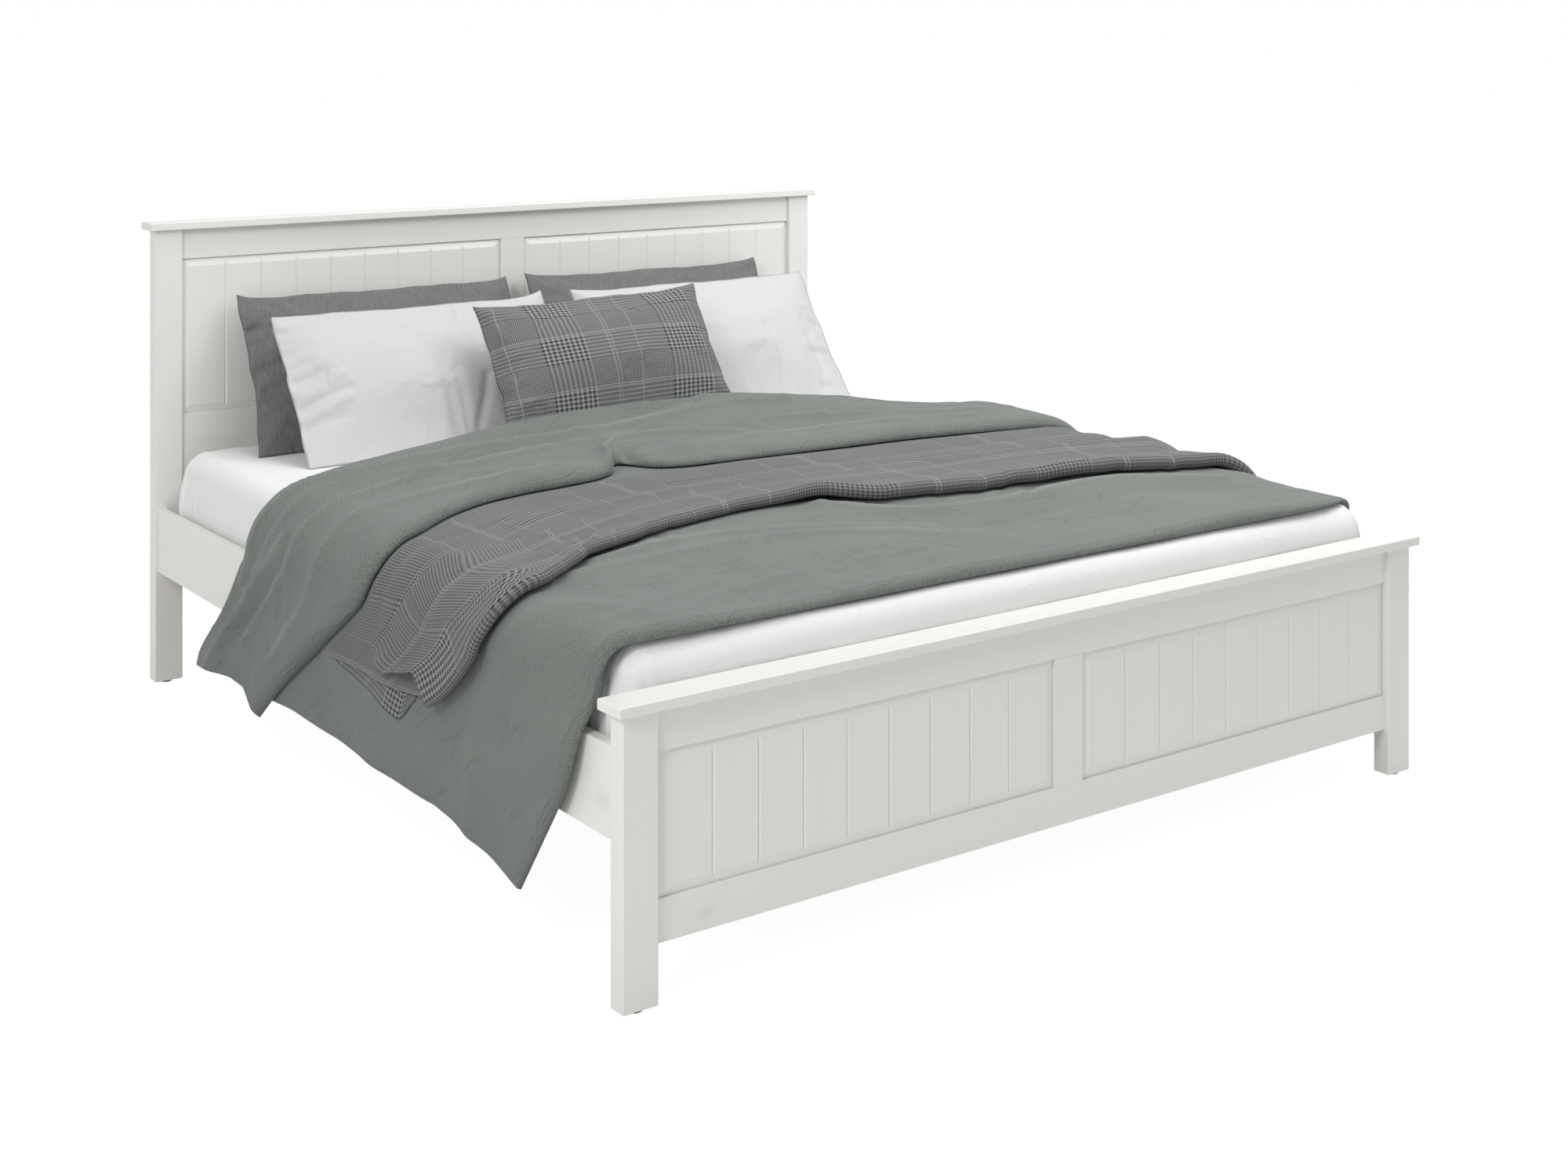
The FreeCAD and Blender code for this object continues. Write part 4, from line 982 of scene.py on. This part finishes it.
def ringPoints(halfX, halfY, corner, count):
    # an outline with rounded corners, more points in the corners
    straight, bend = count // 6, count // 12
    ends = [(x * (halfX - corner), y * (halfY - corner)) for x,
            y in ((1, 1), (-1, 1), (-1, -1), (1, -1))]
    places, ways = [], []
    for turn, centre in enumerate(ends):
        for k in range(bend):
            angle = math.pi / 2 * (turn + k / bend)
            way = np.array([math.cos(angle), math.sin(angle)])
            places.append(centre + way * corner)
            ways.append(way)
        angle = math.pi / 2 * (turn + 1)
        way = np.array([math.cos(angle), math.sin(angle)])
        start, end = centre + way * corner, ends[(turn + 1) % 4] + way * corner
        for k in range(straight):
            share = 0.5 - 0.5 * math.cos(math.pi * (k / straight))
            places.append(start + (end - start) * share)
            ways.append(way)
    return np.array(places), np.array(ways)


def ringMesh(profile, ruffle, count, inset=0.0, closed=False):
    # profile: how far in from the outline and how high, from the lowest ring to the middle of the top
    half = np.array([bed["halfX"], bed["halfY"]])
    outline, ways = ringPoints(*(half - inset), bed["corner"] - inset, count)
    corners = [half * (x, y) for x in (-1, 1) for y in (-1, 1)]
    cornerAway = np.min([np.hypot(*(outline - corner).T) for corner in corners], axis=0)
    steps = np.linalg.norm(np.diff(outline, axis=0), axis=1)
    around = np.concatenate([[0], np.cumsum(steps)])
    rings, flats = [], []
    for inward, height in profile:
        if inward < 0.05:
            limit = half - inset - inward
            place = np.clip(outline - ways * inward, -limit, limit)
        else:
            place = outline * (1 - inward / half)
        pushed = place + ways * ruffle(around, cornerAway, height)[:, None]
        rings.append(np.column_stack([pushed, height + topRuffle(*pushed.T, inward)]))
        flats.append(place + ways * ((0.5 - height) if height < 0.49 else 0.0))
    total = len(outline)
    faces = []
    for k in range(len(profile) - 1):
        for i in range(total):
            j = (i + 1) % total
            faces.append((k * total + i, k * total + j, (k + 1) * total + j, (k + 1) * total + i))
    # the last ring closes in the middle, and the first too where the piece is a solid
    last, middle = (len(profile) - 1) * total, len(profile) * total
    middles = [[0, 0, profile[-1][1]]]
    faces += [(last + i, last + (i + 1) % total, middle) for i in range(total)]
    if closed:
        middles.append([0, 0, profile[0][1]])
        faces += [((i + 1) % total, i, middle + 1) for i in range(total)]
    return np.vstack(rings + [middles]), faces, np.vstack(flats + [np.zeros((len(middles), 2))])


def cornerTaper(around, cornerAway, height):
    # mattress and sheet slope in towards the top near the corners
    depth, reach = bed["taper"]
    return -depth * np.exp(-((cornerAway / reach) ** 2)) * np.clip((height - 0.40) / 0.14, 0, 1) ** 1.5


def cornerGathers(around, cornerAway, height):
    deepest, reach = bed["gather"]
    depth = deepest * np.exp(-((cornerAway / reach) ** 2)) * np.clip((0.545 - height) / 0.09, 0, 1)
    depth *= np.where((around > 2.7) & (around < 6.3), 0.3, 1.0)  # pulled smoother at the foot
    wobble = 0.35 * np.sin(around * 31.0 + height * 9) + 0.2 * np.sin(around * 57.0)
    pleats = (np.sin(around * math.tau / 0.027 + wobble * 3 + height * 5) + 1) * depth * 0.8
    slack = bed["slack"] * (1 + np.sin(around * math.tau / 0.31 + height * 7))
    slack = slack * np.clip((0.54 - height) / 0.1, 0, 1)
    return pleats + slack + cornerTaper(around, cornerAway, height)


def topRuffle(x, y, inward):
    if inward < 0.02:
        return 0.0 * x
    rise, reach = bed["ruffle"]
    towardX, towardY = bed["halfX"] - np.abs(x), bed["halfY"] - np.abs(y)
    near = np.exp(-((np.hypot(towardX, towardY) / reach) ** 2))
    rays = near * rise * np.sin(np.arctan2(towardY + 0.02, towardX + 0.02) * 17)
    return rays + 0.0007 * np.sin(x * 19 + y * 7) * np.sin(y * 11) + creases(x, y, bed["wrinkles"])


def sheetProfile():
    top, hem, edge = bed["top"], bed["hem"], bed["edge"]
    side = [(0.010, hem), (0.004, hem + 0.012), (0.0, hem + 0.03)]
    side += [(0.0, z) for z in np.linspace(hem + 0.045, top - edge, 10)]
    angles = np.linspace(0.12, math.pi / 2, 9)
    turn = [(edge * (1 - math.cos(a)), top - edge + edge * math.sin(a)) for a in angles]
    return side + turn + [(edge + inward, top) for inward in bed["inward"]]


points, faces, flat = ringMesh(sheetProfile(), cornerGathers, bed["around"])
fittedSheet = meshPiece("fittedSheet", points, faces, clothLook["sheet"], flat)
thicken(fittedSheet, bed["cloth"], -1.0)

profile = mattress["bottom"] + [(0, height) for height in mattress["sides"]] + mattress["edge"]
profile += [(inward, mattress["top"]) for inward in mattress["inward"]]
points, faces, flat = ringMesh(profile, cornerTaper, mattress["around"], mattress["inset"], True)
mattressCore = meshPiece("mattressCore", points, faces, clothLook["ticking"], flat)
print("mattress and sheet made")

# pillows: two sewn sheets blown up by a cloth simulation
greyPillow = {"look": "grey", "size": (0.76, 0.40), "thick": 0.118, "lean": 28, "fill": 0.7}
whitePillow = {**greyPillow, "look": "white", "lean": 36, "fill": 0.75}
pillows = {
    "back_pillow_left": {**greyPillow, "pressure": 5.0, "seed": 2, "ear": (-0.022, -0.004),
                         "slide": 0.010, "folds": [
        ([(-0.98, 0.50), (-0.84, 0.62)], -0.005, 0.010),
        ([(-0.98, -0.05), (-0.78, 0.08)], -0.006, 0.012),
        ([(-0.98, -0.22), (-0.80, -0.12)], 0.006, 0.012),
        ([(-0.98, -0.40), (-0.82, -0.34)], -0.005, 0.010),
    ]},
    "back_pillow_right": {**greyPillow, "pressure": 4.6, "seed": 5},
    "front_pillow_left": {**whitePillow, "pressure": 5.4, "seed": 9, "ear": (-0.006, -0.004),
                          "slide": 0.016, "folds": [
        ([(-0.24, 0.80), (-0.12, 0.50), (0.0, 0.15), (0.02, -0.3), (0.06, -0.9)], -0.009, 0.020),
        ([(-0.32, 0.70), (-0.22, 0.20), (-0.18, -0.5)], 0.006, 0.050),
        ([(0.08, -0.1), (0.12, -0.5), (0.14, -0.85)], -0.006, 0.012),
        ([(0.30, -0.2), (0.27, -0.5), (0.20, -0.85)], -0.008, 0.012),
        ([(0.36, 0.2), (0.34, -0.3), (0.38, -0.8)], 0.005, 0.025),
        ([(-0.98, 0.42), (-0.80, 0.50)], -0.004, 0.010),
        ([(-0.98, 0.02), (-0.78, 0.12)], -0.005, 0.010),
        ([(-0.98, -0.20), (-0.66, 0.02)], 0.006, 0.012),
        ([(-0.98, -0.34), (-0.62, -0.16)], -0.006, 0.010),
        ([(-0.98, -0.48), (-0.66, -0.30)], 0.006, 0.012),
        ([(-0.98, -0.62), (-0.70, -0.50)], -0.005, 0.010),
    ]},
    "front_pillow_right": {**whitePillow, "pressure": 5.2, "seed": 13, "slide": 0.014, "folds": [
        ([(0.42, 0.1), (0.48, -0.4), (0.45, -0.85)], -0.007, 0.016),
        ([(0.60, 0.3), (0.66, -0.2), (0.62, -0.8)], 0.006, 0.030),
        ([(0.78, -0.1), (0.82, -0.5), (0.80, -0.85)], -0.006, 0.014),
        ([(0.98, 0.1), (0.80, 0.2)], -0.005, 0.010),
        ([(0.98, -0.3), (0.72, -0.2)], 0.005, 0.012),
    ]},
    "cushion": {"look": "cushion", "size": (0.655, 0.32), "thick": 0.105, "lean": 32, "pressure": 5.6,
                "seed": 17, "fill": 0.8, "tilt": 1.4, "down": 0.008},
}
pillowSim = {
    "spacing": 0.0115,
    "frames": 24,
    "quality": 5,
    "mass": 0.25,
    "stiffness": 22,
    "shear": 9,
    "bending": 0.35,
    "drawIn": (0.024, 0.018),  # the most that seams move in, across and along
    "low": 0.35,  # share of that at the bottom
    "corner": 0.022,
    "flatMiddle": (0.193, 0.035),
    "fuller": 0.22,  # towards the bottom
    "above": 0.0012,  # over the sheet
    "pressed": (0.030, 0.006),  # near the sheet: from how high and how far down
    "slideFrom": 0.12,
}


def blowUp(piece, settings):
    cloth = piece.modifiers.new("cloth", "CLOTH")
    fabric = cloth.settings
    fabric.quality = pillowSim["quality"]
    fabric.mass = pillowSim["mass"]
    fabric.tension_stiffness = fabric.compression_stiffness = pillowSim["stiffness"]
    fabric.shear_stiffness = pillowSim["shear"]
    fabric.bending_stiffness = pillowSim["bending"]
    fabric.use_pressure = True
    fabric.uniform_pressure_force = settings["pressure"]
    fabric.effector_weights.gravity = 0
    cloth.collision_settings.use_collision = False
    cloth.point_cache.frame_end = pillowSim["frames"]
    for step in range(1, pillowSim["frames"] + 1):
        scene.frame_set(step)
    applyModifiers(piece)
    scene.frame_set(1)


def finerGrid(grid):
    # twice as many points each way, on round curves through those there are
    for _ in range(2):
        grid = np.swapaxes(grid, 0, 1)
        between = (grid[:-1] + grid[1:]) / 2
        between[1:-1] = (9 * (grid[1:-2] + grid[2:-1]) - grid[:-3] - grid[3:]) / 16
        fine = np.empty((2 * len(grid) - 1, *grid.shape[1:]))
        fine[::2], fine[1::2] = grid, between
        grid = fine
    return grid


def pillowFolds(px, py, size, seed, rows=()):
    # puckers along the seams, and the rows of slack folds
    width, height = size
    rng = np.random.default_rng(seed + 40)
    x, y = px * width / 2, py * height / 2
    total = np.zeros(px.shape)
    for side in range(4):
        for _ in range(16 if side < 2 else 9):
            along, deep = rng.uniform(-0.95, 0.95), rng.uniform(0.03, 0.10)
            if side < 2:
                edge = (2 * side - 1) * width / 2
                start = (edge, along * height / 2)
                end = (edge - np.sign(edge) * deep, along * height / 2 * 0.9 + rng.normal(0.008, 0.010))
            else:
                edge = (2 * side - 5) * height / 2
                start = (along * width / 2, edge)
                end = (along * width / 2 * 0.97 + rng.normal(0, 0.012),
                       edge - np.sign(edge) * deep * 0.8)
            rise = rng.uniform(0.0010, 0.0032) * rng.choice([-1, 1])
            total += rise * ridge(x, y, [start, end], rng.uniform(0.007, 0.013))
    for path, rise, wide in rows:
        total += rise * ridge(x, y, [(a * width / 2, b * height / 2) for a, b in path], wide)
    edgeAway = np.minimum(width / 2 - np.abs(x), height / 2 - np.abs(y))
    return total * np.clip(edgeAway / 0.012, 0, 1)


def roundCorners(grid, width, height, radius):
    # the seam turns each corner in a small arc
    over = np.maximum(np.abs(grid[..., :2]) - np.array([width, height]) / 2 + radius, 0)
    far = np.hypot(over[..., 0], over[..., 1])
    keep = np.where((far > radius) & (over.min(-1) > 0), radius / np.maximum(far, 1e-9), 1.0)
    grid[..., :2] -= np.sign(grid[..., :2]) * over * (1 - keep[..., None])


def sewnPillow(name, settings):
    width, height = settings["size"]
    columns, rows = int(width / pillowSim["spacing"]), int(height / pillowSim["spacing"])
    rng = np.random.default_rng(settings["seed"])
    gx, gy = np.meshgrid(np.linspace(-1, 1, columns), np.linspace(-1, 1, rows), indexing="ij")
    plump = np.sqrt(np.clip((1 - gx ** 4) * (1 - gy ** 4), 0, 1))
    start = np.stack([gx * width / 2, gy * height / 2], -1)
    uneven = rng.normal(0, 0.0006, gx.shape) * plump
    depth = 0.012 * plump
    top = np.concatenate([start, (depth + uneven)[..., None]], -1)
    bottom = np.concatenate([start, (uneven - depth)[..., None]], -1)
    flat = start + pillowSim["flatMiddle"]
    sewn = closedPad(name, top, bottom, flat, clothLook[settings["look"]])
    blowUp(sewn, settings)
    blown = meshPoints(sewn).astype(float)
    bpy.data.meshes.remove(sewn.data)
    front = blown[: rows * columns].reshape(columns, rows, 3)
    rear = front.copy()
    rear[1:-1, 1:-1] = blown[rows * columns:].reshape(columns - 2, rows - 2, 3)
    highest, lowest = blown[:, 2].max(), blown[:, 2].min()
    seam = 0.0016 * (np.sin(gx * 7 + gy * 9 + settings["seed"]) + 0.4 * np.sin(gx * 23 - gy * 17))
    seam = seam * np.clip(np.maximum(np.abs(gx), np.abs(gy)) * 8 - 7, 0, 1)
    low = np.where(gy < 0, pillowSim["low"], 1.0)
    cap = np.stack([np.full(gx.shape, pillowSim["drawIn"][0]), pillowSim["drawIn"][1] * low], -1)
    made = []
    for grid in (front, rear):
        moved = grid[..., :2] - start
        grid[..., :2] = start + cap * np.tanh(moved / cap)
        grid[..., :2] += np.stack([np.sign(gx), np.sign(gy)], -1) * seam[..., None]
        grid[..., 2] = (grid[..., 2] - (highest + lowest) / 2) * settings["thick"] / (highest - lowest)
        roundCorners(grid, width, height, pillowSim["corner"])
        grid[..., 2] *= 1 - pillowSim["fuller"] * grid[..., 1] / height
        made.append(finerGrid(grid))
    fineFlat = finerGrid(flat)
    px, py = np.moveaxis((fineFlat - pillowSim["flatMiddle"]) * 2 / np.array(settings["size"]), -1, 0)
    # the lower left corner may be pushed out a little
    corner = (np.clip(-px - 0.62, 0, 1) / 0.38 * np.clip(-py - 0.2, 0, 1) / 0.8) ** 1.5
    for grid in made:
        grid[..., :2] += np.array(settings.get("ear", (0, 0))) * corner[..., None]
    made[0][..., 2] += pillowFolds(px, py, settings["size"], settings["seed"],
                                   settings.get("folds", ()))
    made[1][..., 2] -= pillowFolds(px, py, settings["size"], settings["seed"] + 3)
    return made[0], made[1], fineFlat


def setPlace(grids, node, settings, floor):
    low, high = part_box(node)
    angle, tilt = math.radians(90 - settings["lean"]), math.radians(settings.get("tilt", 0))
    turn = Matrix.Rotation(angle, 3, "X") @ Matrix.Rotation(tilt, 3, "Z")
    world = np.stack(grids) @ np.array(turn).T
    points = world.reshape(-1, 3)
    middle = (points.max(0) + points.min(0)) / 2
    world = world - middle + np.array((low + high) / 2) - np.array([0, 0, settings.get("down", 0)])
    if floor is not None:
        under = floor + pillowSim["above"]
        near = np.clip(1 - (world[..., 2] - under) / pillowSim["slideFrom"], 0, 1.3) ** 2
        world[..., 1] -= settings.get("slide", 0) * near  # the lower edge slides forward
        reach, down = pillowSim["pressed"]
        sunk = np.clip((under + reach - world[..., 2]) / reach, 0, 1)
        world[..., 2] = np.maximum(world[..., 2] - down * sunk, under)
    return world


pillowPieces = {}
for node, settings in pillows.items():
    first, *others = node.split("_")
    pieceName = first + "".join(other.title() for other in others) + "Soft"
    front, rear, flat = sewnPillow(pieceName + "Start", settings)
    world = setPlace((front, rear), node, settings, None if node == "cushion" else bed["top"])
    pillowPieces[node] = closedPad(pieceName, world[0], world[1], flat, clothLook[settings["look"]])
    print("pillow made:", node, np.ptp(world.reshape(-1, 3), axis=0).round(3))

# stitches: one tree that sets small thread beads along any line
stitchLook = {"Spacing": 0.0062, "Length": 0.0036, "Width": 0.0011, "Seed": 4}
# rows in from the edges of the duvet; points along the throw's end, and how high above it
hemRows = {"main": 4, "turned": 3, "throw": 26, "above": 0.0014}


def stitchTree():
    tree = bpy.data.node_groups.new("hemStitches", "GeometryNodeTree")
    sockets = tree.interface
    sockets.new_socket("Geometry", in_out="INPUT", socket_type="NodeSocketGeometry")
    for name, value in stitchLook.items():
        kind = "NodeSocketInt" if name == "Seed" else "NodeSocketFloat"
        sockets.new_socket(name, in_out="INPUT", socket_type=kind).default_value = value
    sockets.new_socket("Thread", in_out="INPUT", socket_type="NodeSocketMaterial")
    sockets.new_socket("Geometry", in_out="OUTPUT", socket_type="NodeSocketGeometry")
    source = put(tree, "NodeGroupInput").outputs
    curve = put(tree, "GeometryNodeMeshToCurve", {"Mesh": source["Geometry"]})
    values = {"Curve": curve.outputs[0], "Length": source["Spacing"]}
    spots = put(tree, "GeometryNodeResampleCurve", values, mode="LENGTH")
    bead = put(tree, "GeometryNodeMeshUVSphere", {"Segments": 6, "Rings": 4, "Radius": 0.5})
    tangent = put(tree, "GeometryNodeInputTangent").outputs[0]
    align = put(tree, "FunctionNodeAlignRotationToVector", {"Vector": tangent}, axis="X")
    varied = put(tree, "FunctionNodeRandomValue", {2: 0.85, 3: 1.15, "Seed": source["Seed"]})
    length = times(tree, source["Length"], varied.outputs[1])
    size = put(tree, "CombineXYZ", {0: length, 1: source["Width"], 2: source["Width"]}).outputs[0]
    values = {"Points": spots.outputs[0], "Instance": bead.outputs[0], "Rotation": align.outputs[0],
              "Scale": size}
    beads = put(tree, "GeometryNodeInstanceOnPoints", values)
    real = put(tree, "GeometryNodeRealizeInstances", {0: beads.outputs[0]})
    finish = put(tree, "GeometryNodeSetMaterial", {"Geometry": real.outputs[0],
                                                   "Material": source["Thread"]})
    put(tree, "NodeGroupOutput", {0: finish.outputs[0]})
    return tree


hemTree = stitchTree()


def stitchLine(name, lines, look):
    edges, start = [], 0
    for line in lines:
        edges += [(start + i, start + i + 1) for i in range(len(line) - 1)]
        start += len(line)
    mesh = bpy.data.meshes.new(name)
    mesh.from_pydata(np.concatenate(lines).tolist(), edges, [])
    made = bpy.data.objects.new(name, mesh)
    scene.collection.objects.link(made)
    sewing = made.modifiers.new("sewing", "NODES")
    sewing.node_group = hemTree
    sockets = [item for item in hemTree.interface.items_tree if item.in_out == "INPUT"]
    inputs = {item.name: item.identifier for item in sockets}
    for key, value in {**stitchLook, "Thread": look}.items():
        sewing[inputs[key]] = value
    made.update_tag()
    applyModifiers(made)
    return made


def insetLine(grid, side, steps):
    # the row of points this many steps in from one side, of the top of a pad
    rows, columns = grid.shape[:2]
    if side == "foot":
        return grid[steps:rows - steps, steps]
    return grid[steps if side == "left" else rows - 1 - steps, steps:columns - steps]


mainGrid, turnedGrid = (
    meshPoints(pad)[: shape[0] * shape[1]].reshape(*shape, 3)
    for pad, shape in ((duvetMain, mainShape), (duvetTurned, turnedShape))
)
hems = [insetLine(mainGrid, side, hemRows["main"]) for side in ("foot", "left", "right")]
hems += [insetLine(turnedGrid, side, hemRows["turned"]) for side in ("left", "right")]
duvetStitches = stitchLine("duvetStitches", hems, clothLook["thread"])
sEnd, yEnd, hEnd = throwEnd
hems = [onForm(sEnd, yEnd, hEnd + hemRows["above"])[-hemRows["throw"]:]]
throwStitches = stitchLine("throwStitches", hems, clothLook["thread"])
print("stitches sewn:", len(duvetStitches.data.polygons) + len(throwStitches.data.polygons), "faces")

# what each piece rides on and stands for, with a finish name beside each
for piece, slotName, stood in (
    (duvetMain, "duvet_cotton", ["duvet"]),
    (duvetTurned, "duvet_cotton", []),
    (throwCloth, "checked_cloth", ["throw"]),
    (throwFlap, "checked_cloth", []),
    (fittedSheet, "sheet_cotton", ["fitted_sheet"]),
    (mattressCore, "ticking", ["mattress"]),
    (duvetStitches, "duvet_cotton", []),
    (throwStitches, "checked_cloth", []),
):
    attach(piece, "bed")
    if stood:
        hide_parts(*stood)
for node, piece in pillowPieces.items():
    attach(piece, "bed")
    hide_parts(node)

# camera of the photo: level, with the frame shifted down
camera = bpy.data.objects.new("camera", bpy.data.cameras.new("camera"))
scene.collection.objects.link(camera)
scene.camera = camera
camera.location = (-2.63621, -3.82953, 1.50264)
camera.rotation_euler = (math.radians(90), 0, math.radians(-35.7772))
camera.data.lens = 48.885
camera.data.sensor_width = 36.0
camera.data.shift_y = -0.35267
camera.data.clip_end = 200

# studio: pale floor, white surroundings, soft lamps
studio = {
    "ambient": 0.52,
    "floorHalf": 30,
    "floorTone": 0.86,
    "floorGlow": 0.955,  # to the camera, with a faint shadow on it
    "floorFaint": 0.13,
    "lamps": [
        # place, aim, size, watts
        ((-3.9, -2.2, 2.9), (0.0, -0.4, 0.4), 1.3, 66),
        ((0.4, -0.2, 4.2), (0.0, 0.0, 0.4), 2.0, 54),
        ((1.3, -0.95, 2.5), (0.9, 1.0, 0.8), 1.4, 24),
    ],
}


def whiteToCamera(tree, output, shown, real):
    # the camera and what mirrors or lets it through see one shader, the light the other
    path = put(tree, "LightPath").outputs
    seen = calc(tree, "MAXIMUM", path["Is Glossy Ray"], path["Is Transmission Ray"])
    seen = calc(tree, "MAXIMUM", path["Is Camera Ray"], seen)
    mixed = put(tree, "MixShader", {0: seen, 1: real.outputs[0], 2: shown.outputs[0]})
    put(tree, output, {0: mixed.outputs[0]})


half = studio["floorHalf"]
floorMesh = bpy.data.meshes.new("floor")
floorMesh.from_pydata([(-half, -half, 0), (half, -half, 0), (half, half, 0), (-half, half, 0)], [],
                      [(0, 1, 2, 3)])
floor = bpy.data.objects.new("floor", floorMesh)
scene.collection.objects.link(floor)
floorPaint = bpy.data.materials.new("paleFloor")
tree = emptyTree(floorPaint)
matt, faint = (
    put(tree, "BsdfDiffuse", {"Color": (tone, tone, tone, 1)})
    for tone in (studio["floorTone"], studio["floorFaint"])
)
glow = put(tree, "Emission", {"Color": (1, 1, 1, 1), "Strength": studio["floorGlow"]})
shown = put(tree, "AddShader", {0: faint.outputs[0], 1: glow.outputs[0]})
whiteToCamera(tree, "OutputMaterial", shown, matt)
floorMesh.materials.append(floorPaint)
floor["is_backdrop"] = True

scene.world = bpy.data.worlds.new("studio")
tree = emptyTree(scene.world)
soft, white = (
    put(tree, "Background",
        {"Color": (1, 1, 1, 1), "Strength": strength}) for strength in (studio["ambient"], 1.0)
)
whiteToCamera(tree, "OutputWorld", white, soft)

for i, (place, aim, size, watts) in enumerate(studio["lamps"]):
    light = bpy.data.lights.new("lamp%d" % i, "AREA")
    light.shape, light.size, light.energy = "SQUARE", size, watts
    lamp = bpy.data.objects.new("lamp%d" % i, light)
    scene.collection.objects.link(lamp)
    lamp.location = place
    lamp.rotation_euler = (Vector(aim) - Vector(place)).to_track_quat("-Z", "Y").to_euler()

scene.view_settings.view_transform = "Standard"
print("studio lit:", len(studio["lamps"]), "lamps")

low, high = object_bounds()
